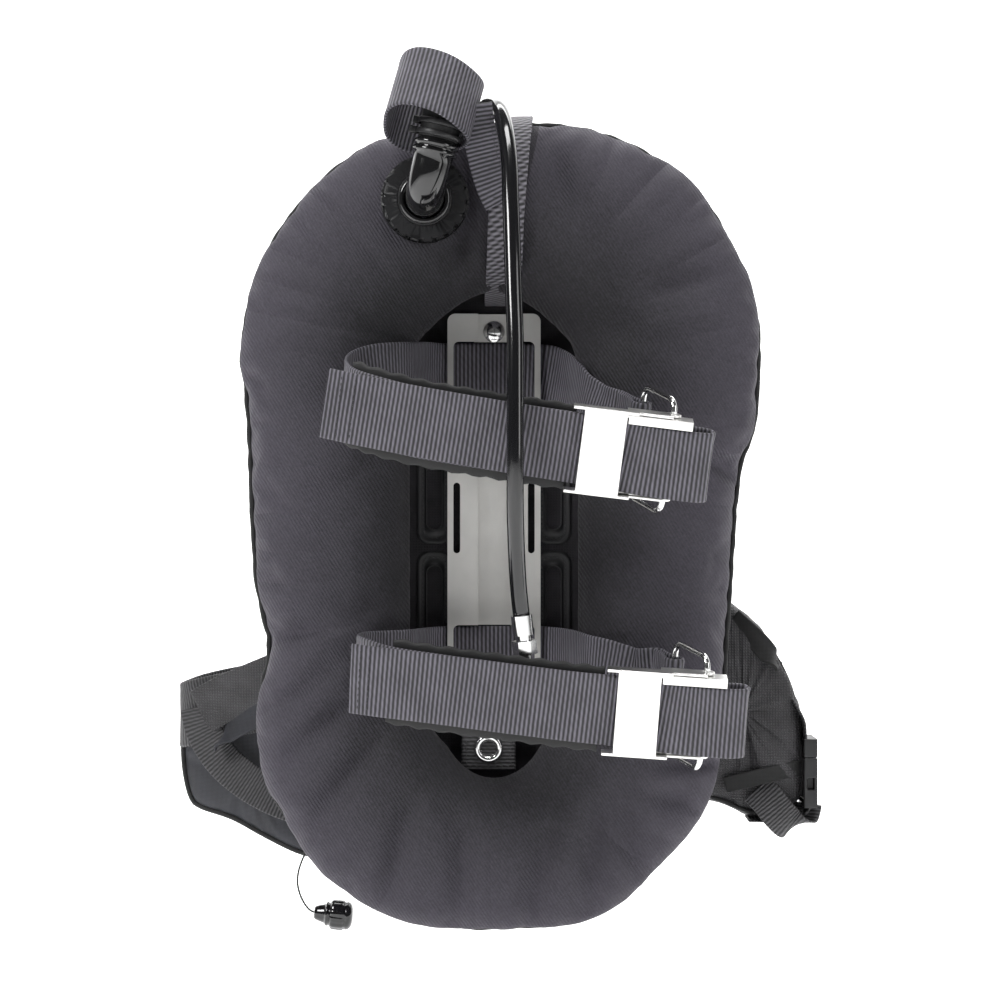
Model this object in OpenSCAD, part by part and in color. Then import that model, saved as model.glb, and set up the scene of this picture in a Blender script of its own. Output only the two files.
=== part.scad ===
// Buoyancy compensator vest: a donut wing on a backplate harness with a single-tank adapter.
// Millimetres. +Z is up, -Y is the tank's side and +Y the diver's side.
// The origin is under the fold of the carry strap, where the vest hangs.

/* [Wing] */
// Half-width of the wing at its widest, near the top
wing_half_w = 190; // [175:1:228]
// Half-width of the wing where its lower bow starts
wing_low_half_w = 168; // [155:1:202]
// Height of the wing from its lower edge to its upper edge
wing_h = 592; // [560:1:640]
// Thickness of the inflated ring from the tank's side to the diver's side
wing_depth = 86; // [70:1:100]
// Half-width of the hole in the ring
hole_half_w = 61; // [52:1:70]
// Thickness of the bound seam round the ring
binding_d = 4; // [3:0.5:6]

/* [Tank adapter and backplate] */
// Width of the tank adapter
sta_w = 70; // [64:1:84]
// Length of the tank adapter
sta_h = 306; // [298:1:330]
// Thickness of the tank adapter's sheet
sta_sheet = 3; // [2:0.5:4]
// Distance between the two bolts
bolt_spacing = 279.4; // [270:0.1:282]
// Diameter of the bolt's shank
bolt_d = 8; // [6:0.5:10]
// Width of the backplate
backplate_w = 204; // [190:1:210]
// Thickness of the backplate
backplate_t = 3; // [2:0.5:4]
// Thickness of the back pad
back_pad_t = 12; // [8:1:16]

/* [Webbing] */
// Width of the wide webbing
webbing_w = 50; // [42:1:54]
// Thickness of the webbing
webbing_t = 2.5; // [1.8:0.1:2.8]
// Width of the chest webbing
chest_w = 25; // [20:1:30]

/* [Cam buckles] */
// Thickness of the buckle's steel sheet
buckle_sheet = 2; // [1.5:0.1:2.4]
// Diameter of the wire in the links
wire_d = 4.4; // [3.6:0.1:5]
// Width of the lever's plate
lever_w = 30; // [24:1:34]

/* [Inflator] */
// Outer diameter of the screw ring on the flange
flange_d = 64; // [58:1:76]
// Outer diameter of the elbow
elbow_d = 28; // [24:1:30]
// Radius of the elbow's bend
elbow_bend = 20; // [18:1:24]
// Outer diameter of the corrugated hose
hose_d = 30; // [28:1:34]
// Diameter of the inflate and deflate buttons
button_d = 16; // [12:1:18]
// Travel of the buttons
button_travel = 4; // [3:0.5:5]

/* [Low-pressure hose] */
// Diameter of the low-pressure hose
lp_d = 12; // [10:0.5:13]
// Outer diameter of the threaded end
thread_d = 9.5; // [8:0.1:10]
// Length of the threaded end
thread_l = 10; // [8:0.5:14]

/* [Dump valve] */
// Outer diameter of the dump valve's cap
dump_d = 56; // [50:1:64]
// Diameter of the pull cord
cord_d = 1.6; // [1.2:0.1:2.4]
// Diameter of the pull knob
knob_d = 23; // [18:1:28]
// Length of the pull knob
knob_l = 30; // [26:1:36]

/* [Tab and pocket] */
// Hole diameter of the grommet
grommet_hole = 11.2; // [9:0.1:13]
// Height of the weight pocket
pocket_h = 160; // [134:1:192]
// Depth of the weight pocket
pocket_d = 52; // [40:1:60]

/* [Hidden] */

fit_gap = 0.4;          // clearance between pieces that move past each other
run_gap = 0.1;          // radial clearance of a bar in its hole
seat_gap = 0.5;         // clearance between pieces that rest on each other

// Wing
wing_top_z = -5;
wing_bottom_z = wing_top_z - wing_h;
upper_bow = 158;        // height of the upper bow
lower_bow = 157;        // height of the lower bow
upper_bow_z = wing_top_z - upper_bow;
lower_bow_z = wing_bottom_z + lower_bow;
wing_back_y = 24;
ring_y = wing_back_y - wing_depth / 2;
drawn_depth = 86;       // the wing's depth that the routes over it are drawn for
hole_top_z = -122;
hole_bottom_z = wing_bottom_z + 113;
bow_power = 2.2;        // 2 is an ellipse, more is squarer
bow_step = 12;          // degrees between stations round a bow
side_steps = 6;         // stations along a straight side
section_step = 24;      // degrees between points round the ring's section

// Layers behind the wing, from the tank's side to the diver's side
panel_y = 25;
panel_t = 2;
patch_t = 1.2;
plate_y = panel_y + panel_t + seat_gap;
pad_y = plate_y + backplate_t + 2.5;

// Tank adapter
sta_x = -3;
sta_top_z = -141;
drawn_sta_w = 70;       // the adapter's width that the band routes are drawn for
sta_step = 8;           // how far the side flats stand in front of the channel
channel_w = 24;
sta_back_y = panel_y - patch_t - seat_gap;
bolt_top_z = sta_top_z - (sta_h - bolt_spacing) / 2;
upper_window_z = -188;
lower_window_z = -401;
window_h = webbing_w + 2;
window_w = sta_w - 9;
bolt_places = [bolt_top_z, bolt_top_z - bolt_spacing];

// Buckles: [pivot, lean to the right, pitch towards the tank's side]
upper_buckle = [[119, -140, -251], 7, 12];
lower_buckle = [[144, -140, -431], 4, 10];
link_turn = 114;        // where the wire link points, seen along the pivot
rail_in = webbing_w / 2 + 1.5;          // inner face of the frame's rails
rail_out = rail_in + buckle_sheet;
cheek_in = rail_out + fit_gap;          // inner face of the lever's cheeks
cheek_out = cheek_in + buckle_sheet;
inner_layer = 6;                        // webbing layers in front of the pivot
outer_layer = inner_layer + webbing_t + 1;
lever_y = outer_layer + webbing_t / 2 + 1.9;
link_bend = 9;
link_half = cheek_out + link_bend + 0.5; // from the link's middle to its short bars
link_reach = 50;

// Band routes, along the middle of the webbing. The sewn end is [from the pivot, across the link],
// and the lap through the buckle is [x, y, share of the sag] in the buckle's own frame.
sewn_rise = 4;
sewn_fold = [[66, -2.4], [58, -4.6], [51, -6], [45.2, -3.8], [43.8, 0], [45.2, 3.8], [51, 6], [58, 4.6], [66, 2.4]];
loop_sag = 3.2;         // how far the free loop hangs below the rails' middle
loop_lap = [[6, -6, 0], [16, -1, 0.3], [24, 4, 0.7], [29, 1, 1], [28, -5, 1], [20, -9, 1], [8, -9.6, 1]];
inner_lap = [-62, -35, -8];
outer_lap = [[-8, 1], [-22, 0.8], [-40, 0.3], [-62, 0]];
upper_behind = [
    [75, -51, -222], [65, -38.5, -214], [59, -24, -205], [52, -4, -197], [42, 13, -191], [29, 20, -188.5],
    [0, 20, -188], [-31, 20, -188], [-42, 15, -188], [-52, 0, -188], [-59, -21, -189], [-65, -38, -190],
    [-75, -52, -191], [-89, -65, -193], [-103, -80, -198], [-110, -100, -205], [-105, -121, -212],
    [-86, -138, -219], [-50, -143.5, -228], [5, -145.5, -237]];
upper_tail = [[5, -149.5, -237], [-50, -148.3, -227.5], [-96, -144, -218.5], [-121, -138, -213]];
lower_behind = [
    [100, -65.5, -413], [88, -60.5, -410], [77, -52.5, -407], [67, -41, -405], [59.5, -25, -403], [52, -4, -402],
    [42, 13, -401.5], [29, 20, -401], [0, 20, -401], [-31, 20, -401], [-42, 15, -401], [-52, 0, -401],
    [-59, -21, -401], [-65, -38, -401], [-75, -51, -401], [-86, -60.5, -401], [-97, -76, -401],
    [-101, -97, -402], [-95, -119, -403], [-76, -137, -408], [-42, -143.5, -413], [8, -145, -419.5],
    [48, -146, -424.5]];
lower_tail = [[48, -149.8, -424.5], [8, -149, -419.5], [-42, -148, -413], [-86, -143, -408], [-103, -137, -406]];

// Inflator
flange_at = [-53, ring_y - wing_depth / 2 + 1, -63];
flange_lean = 14;
flange_bore = elbow_d / 2 + 2.5;
elbow_out = 14;         // straight length before the bend
collar_h = 21;          // straight length after the bend
hose_route = [
    [-43, -95, -23], [-40.5, -95, -12], [-39, -91.5, 0], [-38, -84, 11], [-37, -72, 20], [-36, -56, 26],
    [-35, -36, 29], [-34, -12, 29], [-34, 14, 27], [-37, 42, 20], [-43, 70, 6], [-50, 97, -14],
    [-57, 121, -42], [-62, 142, -74], [-67, 159, -108], [-70, 171, -143], [-71, 178, -176], [-71, 180, -206]];
cuff_at = flange_at + [6, -30, flange_d / 2 + 34];
cuff_tilt = [-26, 14, 0];
cuff_d = 64;
body_at = [-71, 180, -206];
body_r = 17;
body_h = 104;
inlet_z = -34;

// Low-pressure hose: from the quick connector over the shoulder and down the tank's side
lp_route = [
    [-34, 180, -208], [-34, 180, -190], [-33, 178, -165], [-31, 171, -135], [-29, 158, -104], [-27, 139, -75],
    [-24, 115, -48], [-21, 88, -27], [-18, 60, -12], [-15, 32, -2], [-12, 4, 6], [-9, -26, 9],
    [-4, -56, 7], [1, -84, 0], [5, -106, -17], [8, -121, -42], [9, -133, -71], [10, -143, -102],
    [11, -151, -135], [12, -158, -168], [12, -163, -202], [12, -165, -236], [12, -164, -262],
    [12, -159, -286], [12.6, -150, -307], [13.4, -140, -326], [14.6, -132, -344], [16.5, -127, -362]];
ferrule_l = 18;
nut_l = 10;
fitting_tilt = [-174, -6, 0];

// Dump valve and its cord
dump_at = [-104, 0, -508];
dump_face_y = 25;
cord_route = [
    [-131, 40, -526], [-135, 39, -531], [-139.5, 36.5, -537.5], [-144, 33, -545], [-148, 30, -553],
    [-150.8, 28, -561.5], [-151.6, 27, -570], [-150, 26.5, -578], [-146.8, 26, -585], [-143, 26, -590],
    [-139, 26, -592.5]];

// Harness
shoulder_route = [
    [50, 38, -180], [51, 40, -150], [52, 50, -118], [54, 72, -98], [57, 98, -98], [60, 124, -118],
    [64, 142, -152], [70, 151, -200], [78, 153, -250], [90, 148, -300], [104, 134, -345], [104, 108, -378],
    [95, 78, -393], [92, 54, -399], [92, 44, -399], [92, 35, -399]];
pad_first = 2;          // the stretch of the shoulder route that the pad covers
pad_last = 8;
chest_z = -236;
chest_back = -7.4;      // back face of the chest webbing where it is sewn to the shoulder straps
chest_l = 27;           // length of the chest buckle's socket
waist_l = 44;           // length of the waist buckle's socket
chest_y = 163;
belt_z = -432;
belt_route_left = [
    [-70, 36, -430], [-110, 38, -429], [-150, 40.5, -430], [-186, 54.5, -434], [-214, 66, -440], [-238, 76, -446],
    [-246, 90, -448], [-243, 106, -447], [-226, 128, -442], [-190, 151, -436], [-140, 170, -432], [-90, 181, -432],
    [-45, 186, -432]];
belt_route_right = [
    [70, 36, -430], [96, 44, -430], [120, 64, -431], [140, 88, -432], [164, 93, -432], [190, 95, -433],
    [214, 104, -433], [222, 122, -433], [200, 144, -433], [150, 163, -432], [100, 174, -432], [58, 178.5, -432],
    [5, 179, -432]];
belt_y = 186;
buckle_half_w = 31;

// Tab
tab_at = [-7, -6, -466];
tab_w = 40;
tab_t = 4;

function unit(v) = v / norm(v);
function heading(path, i) = unit(path[min(i + 1, len(path) - 1)] - path[max(i - 1, 0)]);
function square_to(v, t) = unit(v - (v * t) * t);

// Catmull-Rom curve through a route's points
function between(a, b, c, d, u) =
    0.5 * (2 * b + (c - a) * u + (2 * a - 5 * b + 4 * c - d) * u * u
        + (3 * b - a - 3 * c + d) * u * u * u);
function smooth(path, steps) = concat(
    [for (i = [0:len(path) - 2], s = [0:steps - 1])
        between(path[max(i - 1, 0)], path[i], path[i + 1], path[min(i + 2, len(path) - 1)], s / steps)],
    [path[len(path) - 1]]);
function all_along(path, dir) = [for (p = path) dir];
function mirrored(path) = [for (p = path) [-p[0], p[1], p[2]]];
function part_of(path, first, last) = [for (i = [first:last]) path[i]];

// Directions across a path, carried along it so that a swept section doesn't twist
function across(path, start) =
    [for (i = 0, a = square_to(start, heading(path, 0)); i < len(path);
        i = i + 1, a = square_to(a, heading(path, min(i, len(path) - 1)))) a];

// Triangles between row i and the next one, and the two end caps
function joined(i, next, sides) = [for (k = [0:sides - 1], half = [0, 1])
    let (a = i * sides + k, b = i * sides + (k + 1) % sides)
    let (c = next * sides + (k + 1) % sides, d = next * sides + k)
    half == 0 ? [a, c, b] : [a, d, c]];
function skin(rows, sides) = [for (i = [0:rows - 2]) each joined(i, i + 1, sides)];
function ring_skin(rows, sides) = [for (i = [0:rows - 1]) each joined(i, (i + 1) % rows, sides)];
function caps(rows, sides) = [
    [for (k = [0:sides - 1]) k],
    [for (k = [sides - 1:-1:0]) (rows - 1) * sides + k]];

// A round tube along a path
module sweep(path, d, sides) {
    sideways = across(path, [1, 0.02, 0.01]);
    points = [for (i = [0:len(path) - 1], k = [0:sides - 1])
        path[i] + d / 2 * (sideways[i] * cos(k * 360 / sides)
            + cross(heading(path, i), sideways[i]) * sin(k * 360 / sides))];
    polyhedron(points, concat(skin(len(path), sides), caps(len(path), sides)), convexity = 6);
}

// A flat strap along a path, its width lying along the direction given at each point
module strap(path, dirs, w, t) {
    corners = [[1, 1], [-1, 1], [-1, -1], [1, -1]];
    points = [for (i = [0:len(path) - 1], c = corners)
        let (a = square_to(dirs[i], heading(path, i)), n = cross(heading(path, i), a))
        path[i] + a * c[0] * w / 2 + n * c[1] * t / 2];
    polyhedron(points, concat(skin(len(path), 4), caps(len(path), 4)), convexity = 10);
}

// A round-cornered plate, w along X and h along Z, from y = 0 to y = t
module plate(w, h, t, r) {
    translate([0, t, 0]) rotate([90, 0, 0]) linear_extrude(t) rounded(w, h, r);
}

module rounded(w, h, r) {
    square([w - 2 * r, h], center = true);
    square([w, h - 2 * r], center = true);
    for (sx = [-1, 1], sz = [-1, 1]) translate([sx * (w / 2 - r), sz * (h / 2 - r)]) circle(r, $fn = 48);
}

// A cylinder along -Y from y = 0
module boss(d, l) {
    rotate([90, 0, 0]) cylinder(d = d, h = l, $fn = 64);
}

// ---- Wing ----

function bow(half_w, rise, z, a) = [
    half_w * sign(cos(a)) * pow(abs(cos(a)), 2 / bow_power),
    z + rise * sign(sin(a)) * pow(abs(sin(a)), 2 / bow_power)];
function side(from, to) = [for (s = [1:side_steps - 1]) from + (to - from) * s / side_steps];
function oval(top_w, low_w, top_rise, low_rise, top_z, low_z) = concat(
    [for (a = [0:bow_step:180]) bow(top_w, top_rise, top_z, a)],
    side([-top_w, top_z], [-low_w, low_z]),
    [for (a = [180:bow_step:360]) bow(low_w, low_rise, low_z, a)],
    side([low_w, low_z], [top_w, top_z]));
wing_outline = oval(wing_half_w, wing_low_half_w, upper_bow, lower_bow, upper_bow_z, lower_bow_z);
hole_outline = oval(hole_half_w, hole_half_w, hole_half_w, hole_half_w,
    hole_top_z - hole_half_w, hole_bottom_z + hole_half_w);

module wing_bladder() {
    stations = len(wing_outline);
    sides = 360 / section_step;
    points = [for (i = [0:stations - 1], k = [0:sides - 1])
        let (middle = (wing_outline[i] + hole_outline[i]) / 2, half = (wing_outline[i] - hole_outline[i]) / 2)
        let (p = middle + half * cos(k * section_step))
        [p[0], ring_y + wing_depth / 2 * sin(k * section_step), p[1]]];
    color([0.16, 0.15, 0.17]) polyhedron(points, ring_skin(stations, sides), convexity = 8);
}

module wing_binding() {
    stations = len(wing_outline);
    sides = 6;
    points = [for (i = [0:stations - 1], k = [0:sides - 1])
        let (out = unit(wing_outline[i] - hole_outline[i]))
        let (p = wing_outline[i] + out * binding_d / 2 * (0.9 + cos(k * 60)))
        [p[0], ring_y + binding_d / 2 * sin(k * 60), p[1]]];
    color([0.05, 0.05, 0.05]) polyhedron(points, ring_skin(stations, sides), convexity = 8);
}

// ---- Panel, backplate and tank adapter ----

panel_mid_z = (hole_top_z + hole_bottom_z) / 2;
panel_h = hole_top_z - hole_bottom_z + 16;
panel_w = 2 * hole_half_w + 32;

module bolt_holes(d) {
    for (z = bolt_places) translate([sta_x, 100, z]) boss(d, 200);
}

module centre_panel() {
    color([0.06, 0.06, 0.065]) difference() {
        translate([sta_x, panel_y, panel_mid_z]) plate(panel_w, panel_h, panel_t, 50);
        bolt_holes(bolt_d + 0.6);
    }
}

patch_w = 26;
patch_z = [-272, -362];
patch_h = 84;
patch_x = 45;
slot_w = 11;

module slot_patches() {
    color([0.03, 0.03, 0.035])
    for (sx = [-1, 1], z = patch_z) difference() {
        translate([sta_x + sx * patch_x, panel_y - patch_t, z]) plate(patch_w, patch_h, patch_t - 0.02, 8);
        translate([sta_x + sx * patch_x, panel_y - patch_t - 1, z])
            plate(slot_w, patch_h - 22, patch_t + 2, slot_w / 2 - 0.01);
    }
}

module sta_section() {
    flat_w = (sta_w - channel_w) / 2;
    flat_y = sta_back_y - sta_step - sta_sheet;
    translate([-channel_w / 2, sta_back_y - sta_sheet]) square([channel_w, sta_sheet]);
    for (sx = [-1, 1]) {
        translate([sx * (channel_w / 2 + flat_w / 2) - flat_w / 2, flat_y]) square([flat_w, sta_sheet]);
        translate([sx * (channel_w / 2 + sta_sheet / 2) - sta_sheet / 2, flat_y])
            square([sta_sheet, sta_step + sta_sheet]);
    }
}

module sta_plate() {
    color([0.78, 0.78, 0.77]) difference() {
        intersection() {
            translate([sta_x, 0, sta_top_z - sta_h]) linear_extrude(sta_h) sta_section();
            translate([sta_x, -20, sta_top_z - sta_h / 2]) plate(sta_w, sta_h, 60, 6);
        }
        for (z = [upper_window_z, lower_window_z])
            translate([sta_x, -20, z]) plate(window_w, window_h, 60, 4);
        for (sx = [-1, 1])
            translate([sta_x + sx * (sta_w / 2 - 7), -20, (upper_window_z + lower_window_z) / 2])
                plate(5, 53, 60, 2.49);
        bolt_holes(bolt_d + 0.6);
    }
}

module sta_bolts() {
    color([0.8, 0.8, 0.8])
    for (z = bolt_places) translate([sta_x, 0, z]) {
        face_y = sta_back_y - sta_sheet - 0.05;
        translate([0, pad_y + 8, 0]) boss(bolt_d, pad_y + 8 - face_y);
        translate([0, face_y, 0]) intersection() {
            boss(2 * bolt_d, 5);
            translate([0, 6.5, 0]) sphere(11.5, $fn = 64);
        }
    }
}

module sta_nuts() {
    color([0.7, 0.7, 0.7])
    for (z = bolt_places) translate([sta_x, plate_y + backplate_t + 7.2, z]) difference() {
        union() {
            rotate([90, 0, 0]) cylinder(d = 13 / cos(30), h = 5.6, $fn = 6);
            translate([0, -5.4, 0]) boss(18, 1.6);
        }
        translate([0, 1, 0]) boss(bolt_d + 0.1, 20);
    }
}

backplate_h = 340;
backplate_z = -294;
harness_slot_z = [-152, -430];

module backplate() {
    color([0.1, 0.1, 0.1]) difference() {
        translate([0, plate_y, backplate_z]) plate(backplate_w, backplate_h, backplate_t, 30);
        for (sx = [-1, 1]) {
            translate([sx * 50, plate_y - 5, harness_slot_z[0]]) plate(webbing_w + 6, 7, 20, 3.4);
            translate([sx * 70, plate_y - 5, harness_slot_z[1]]) plate(7, webbing_w + 6, 20, 3.4);
            translate([sx * 68, plate_y - 5, -300]) plate(26, 110, 20, 12.9);
        }
        bolt_holes(bolt_d + 0.6);
    }
}

module back_pad() {
    color([0.08, 0.08, 0.085]) difference() {
        translate([0, pad_y, -282]) plate(backplate_w - 40, 194, back_pad_t, 26);
        translate([0, pad_y - 5, -282]) plate(40, 154, back_pad_t + 10, 19);
    }
}

strap_w = 26;
carry_points = [
    [3, 22, -134], [3, -4, -130], [4, -36, -121], [5, -56, -102], [6, -67, -76], [8, -66, -50],
    [10, -57, -26], [12, -41, -7], [13, -16, 2.4], [13, 8, 2.4], [11, 28, -8], [8, 41, -30], [6, 43, -62],
    [4, 38, -96], [3, plate_y + backplate_t + 1.8, -124], [3, plate_y + backplate_t + 1.8, -136]];
// In front of the wing's back the strap lies on the wing, so it follows the wing's depth
carry_route = [for (p = carry_points)
    p[1] > wing_back_y || p[2] < -130 ? p : [p[0], wing_back_y + (p[1] - wing_back_y) * wing_depth / drawn_depth, p[2]]];

module carry_strap() {
    path = smooth(carry_route, 4);
    color([0.09, 0.09, 0.09]) strap(path, all_along(path, [1, 0, 0]), strap_w, webbing_t);
}

module lower_tab() {
    color([0.07, 0.07, 0.07]) difference() {
        translate([tab_at[0] - tab_w / 2, 0, 0]) rotate([90, 0, 90]) linear_extrude(tab_w) polygon([
            [tab_at[1] - tab_t / 2, tab_at[2] - 16], [tab_at[1] + tab_t / 2, tab_at[2] - 16],
            [tab_at[1] + tab_t / 2, tab_at[2] + 8], [panel_y - seat_gap, tab_at[2] + 12],
            [panel_y - seat_gap, tab_at[2] + 12 + tab_t], [tab_at[1] - tab_t / 2, tab_at[2] + 12]]);
        translate([tab_at[0], tab_at[1] + 10, tab_at[2]]) boss(grommet_hole + 3, 20);
    }
}

module grommet() {
    bore = grommet_hole / 2;
    half = tab_t / 2;
    color([0.85, 0.85, 0.85]) translate(tab_at) rotate([90, 0, 0]) rotate_extrude($fn = 96) difference() {
        union() {
            translate([bore, -half - 1.2]) square([1.4, tab_t + 2.4]);
            for (s = [-1, 1]) translate([bore + 2.7, s * (half + 0.1)]) circle(2.7, $fn = 32);
        }
        translate([bore + 1.4, -half - 0.05]) square([8, tab_t + 0.1]);
    }
}

// ---- Bands and buckles ----

// A point turned with a buckle, and the same point in the model's frame
function tilted(buckle, p) =
    let (y = p[1] * cos(buckle[2]) - p[2] * sin(buckle[2]), z = p[1] * sin(buckle[2]) + p[2] * cos(buckle[2]))
    [p[0] * cos(buckle[1]) + z * sin(buckle[1]), y, z * cos(buckle[1]) - p[0] * sin(buckle[1])];
function in_buckle(buckle, p) = buckle[0] + tilted(buckle, p);

function sewn_end(buckle, reach) =
    [for (q = concat([[reach, -1.9]], sewn_fold, [[reach, 1.9]]))
        in_buckle(buckle, [q[0] * cos(link_turn) + q[1] * sin(link_turn),
            q[0] * sin(link_turn) - q[1] * cos(link_turn), sewn_rise])];
function lap(buckle) =
    [for (q = concat([for (x = inner_lap) [x, -inner_layer, 0]], loop_lap, [for (o = outer_lap) [o[0], -outer_layer, o[1]]]))
        in_buckle(buckle, [q[0], q[1], -loop_sag * q[2]])];
// Beside the adapter a band stands off as the adapter's width grows
function past_sta(path) = [for (p = path)
    p[1] < -60 || abs(p[0] - sta_x) < 26 ? p : p + [sign(p[0] - sta_x) * (sta_w - drawn_sta_w) / 2, 0, 0]];
upper_route = concat(sewn_end(upper_buckle, 86), past_sta(upper_behind), lap(upper_buckle), upper_tail);
lower_route = concat(sewn_end(lower_buckle, 78), past_sta(lower_behind), lap(lower_buckle), lower_tail);

// The webbing stands upright behind the adapter and takes the buckle's tilt in front and at the sewn end
function band_dirs(path, buckle) = [for (p = path)
    let (share = max(0, min(1, max((-60 - p[1]) / 50, (p[0] - 78) / 18))))
    unit(tilted(buckle, [0, 0, 1]) * share + [0, 0, 1] * (1 - share))];

module band(route, buckle) {
    path = smooth(route, 3);
    color([0.24, 0.23, 0.25]) strap(path, band_dirs(path, buckle), webbing_w, webbing_t);
}

module upper_band() {
    band(upper_route, upper_buckle);
}

module lower_band() {
    band(lower_route, lower_buckle);
}

pad_rise = 4;           // how far a rubber pad stands past the webbing's edges
pad_gap = 4.6;          // from the webbing's middle to the pad's middle
pad_t = 3;

// The rubber pad lies inside the front stretch of a band
module band_pad(route, buckle) {
    path = smooth(route, 3);
    lined = [for (p = path) p + [0, pad_gap, 0]];
    color([0.04, 0.04, 0.04]) strap(lined, band_dirs(path, buckle), webbing_w + 2 * pad_rise, pad_t);
}

module upper_band_pad() {
    band_pad(part_of(upper_behind, 17, 19), upper_buckle);
}

module lower_band_pad() {
    band_pad(part_of(lower_behind, 19, 22), lower_buckle);
}

module at_buckle(buckle) {
    translate(buckle[0]) rotate([buckle[2], buckle[1], 0]) children();
}

frame_left = -47;
frame_l = 61;
rail_front = -lever_y + 0.4;
rail_back = 5.4;
low_front = -outer_layer + webbing_t / 2 + 0.5; // the lower rail and cheek begin behind the free loop
low_trim = 6;           // how much shorter the lower rail is
lip_w = 6.5;            // the upper rail's lip over the webbing
lip_t = 1.2;

module buckle_frame() {
    color([0.75, 0.75, 0.74]) difference() {
        union() {
            translate([frame_left, rail_front, rail_in]) cube([frame_l, rail_back - rail_front, buckle_sheet]);
            translate([frame_left, low_front, -rail_out]) cube([frame_l - low_trim, rail_back - low_front, buckle_sheet]);
            translate([frame_left, -inner_layer + webbing_t / 2 + 0.6, -rail_in])
                cube([frame_l - 22, buckle_sheet, 2 * rail_in]);
            translate([lever_left + lever_w + 1, rail_front, rail_out - lip_w])
                cube([frame_left + frame_l - lever_left - lever_w - 1, lip_t, lip_w]);
        }
        cylinder(d = wire_d + 2 * run_gap, h = 100, center = true, $fn = 64);
    }
}

lever_left = -62;
lever_flange = 11;      // depth of the plate's folded edges
cheek_back = 4;
cheek_r = 5.5;

module buckle_lever() {
    color([0.85, 0.85, 0.84]) {
        translate([lever_left, -lever_y - buckle_sheet, -cheek_out]) cube([lever_w, buckle_sheet, 2 * cheek_out]);
        for (s = [-1, 1]) difference() {
            cheek_z = s > 0 ? cheek_in : -cheek_out;
            cheek_front = s > 0 ? -lever_y + 1 : low_front;
            union() {
                translate([lever_left - 8, -lever_y - buckle_sheet, cheek_z]) cube([lever_w + 16, lever_flange, buckle_sheet]);
                translate([lever_left + lever_w, cheek_front, cheek_z])
                    cube([-lever_left - lever_w, cheek_back - cheek_front, buckle_sheet]);
                translate([0, 0, cheek_z]) cylinder(r = cheek_r, h = buckle_sheet, $fn = 64);
            }
            cylinder(d = wire_d + 2 * run_gap, h = 100, center = true, $fn = 64);
        }
    }
}

// A round-cornered loop of wire: one long bar on the pivot, the other link_reach away along +X
module wire_loop() {
    straight_x = link_reach - 2 * link_bend;
    straight_z = 2 * (link_half - link_bend);
    for (s = [0, 1]) {
        translate([s * link_reach, 0, -straight_z / 2]) cylinder(d = wire_d, h = straight_z, $fn = 48);
        translate([link_bend, 0, (2 * s - 1) * link_half]) rotate([0, 90, 0])
            cylinder(d = wire_d, h = straight_x, $fn = 48);
    }
    corners = [[link_reach - link_bend, 1, 0], [link_bend, 1, 90], [link_bend, -1, 180], [link_reach - link_bend, -1, 270]];
    for (c = corners) translate([c[0], 0, c[1] * (link_half - link_bend)]) rotate([90, 0, 0])
        rotate([0, 0, c[2]]) rotate_extrude(angle = 90, $fn = 64) translate([link_bend, 0]) circle(d = wire_d, $fn = 32);
}

module wire_link(buckle) {
    color([0.72, 0.72, 0.72]) at_buckle(buckle) rotate([0, 0, link_turn]) wire_loop();
}

module upper_buckle_frame() {
    at_buckle(upper_buckle) buckle_frame();
}

module lower_buckle_frame() {
    at_buckle(lower_buckle) buckle_frame();
}

module upper_buckle_lever() {
    at_buckle(upper_buckle) buckle_lever();
}

module lower_buckle_lever() {
    at_buckle(lower_buckle) buckle_lever();
}

module upper_wire_link() {
    wire_link(upper_buckle);
}

module lower_wire_link() {
    wire_link(lower_buckle);
}

// ---- Inflator ----

notches = 20;
ring_h = 9;

module at_flange() {
    translate(flange_at) rotate([0, flange_lean, 0]) children();
}

module flange_base() {
    color([0.05, 0.05, 0.055]) at_flange() difference() {
        union() {
            translate([0, 5, 0]) boss(flange_d - 4, 6);
            boss(2 * flange_bore + 6, ring_h + 2);
        }
        translate([0, 20, 0]) boss(elbow_d + 2, 60);
    }
}

module flange_nut() {
    color([0.05, 0.05, 0.055]) at_flange() difference() {
        translate([0, -1 - fit_gap, 0]) union() {
            boss(flange_d, 2);
            boss(flange_d - 5, ring_h);
            for (k = [0:notches - 1]) rotate([0, k * 360 / notches, 0]) translate([-3, -ring_h, flange_d / 2 - 5])
                cube([6, ring_h, 4]);
        }
        translate([0, 5, 0]) boss(2 * flange_bore + 6 + 2 * fit_gap, 40);
    }
}

elbow_top = elbow_out + elbow_bend;

module elbow_pipe(d) {
    translate([0, -2, 0]) boss(d, elbow_out - 2);
    translate([0, -elbow_out, elbow_bend]) rotate([0, 90, 0]) rotate([180, 0, 0])
        rotate_extrude(angle = 90, $fn = 96) translate([elbow_bend, 0]) circle(d = d, $fn = 64);
    translate([0, -elbow_top, elbow_bend]) cylinder(d = d, h = collar_h, $fn = 64);
}

module elbow() {
    color([0.03, 0.03, 0.03]) at_flange() difference() {
        union() {
            elbow_pipe(elbow_d);
            for (z = [11, 16]) translate([0, -elbow_top, elbow_bend + z]) cylinder(d = elbow_d + 5, h = 2.5, $fn = 64);
        }
        elbow_pipe(elbow_d - 5);
        translate([0, -elbow_top, elbow_bend + 1]) cylinder(d = elbow_d - 5, h = collar_h, $fn = 64);
    }
}

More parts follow.
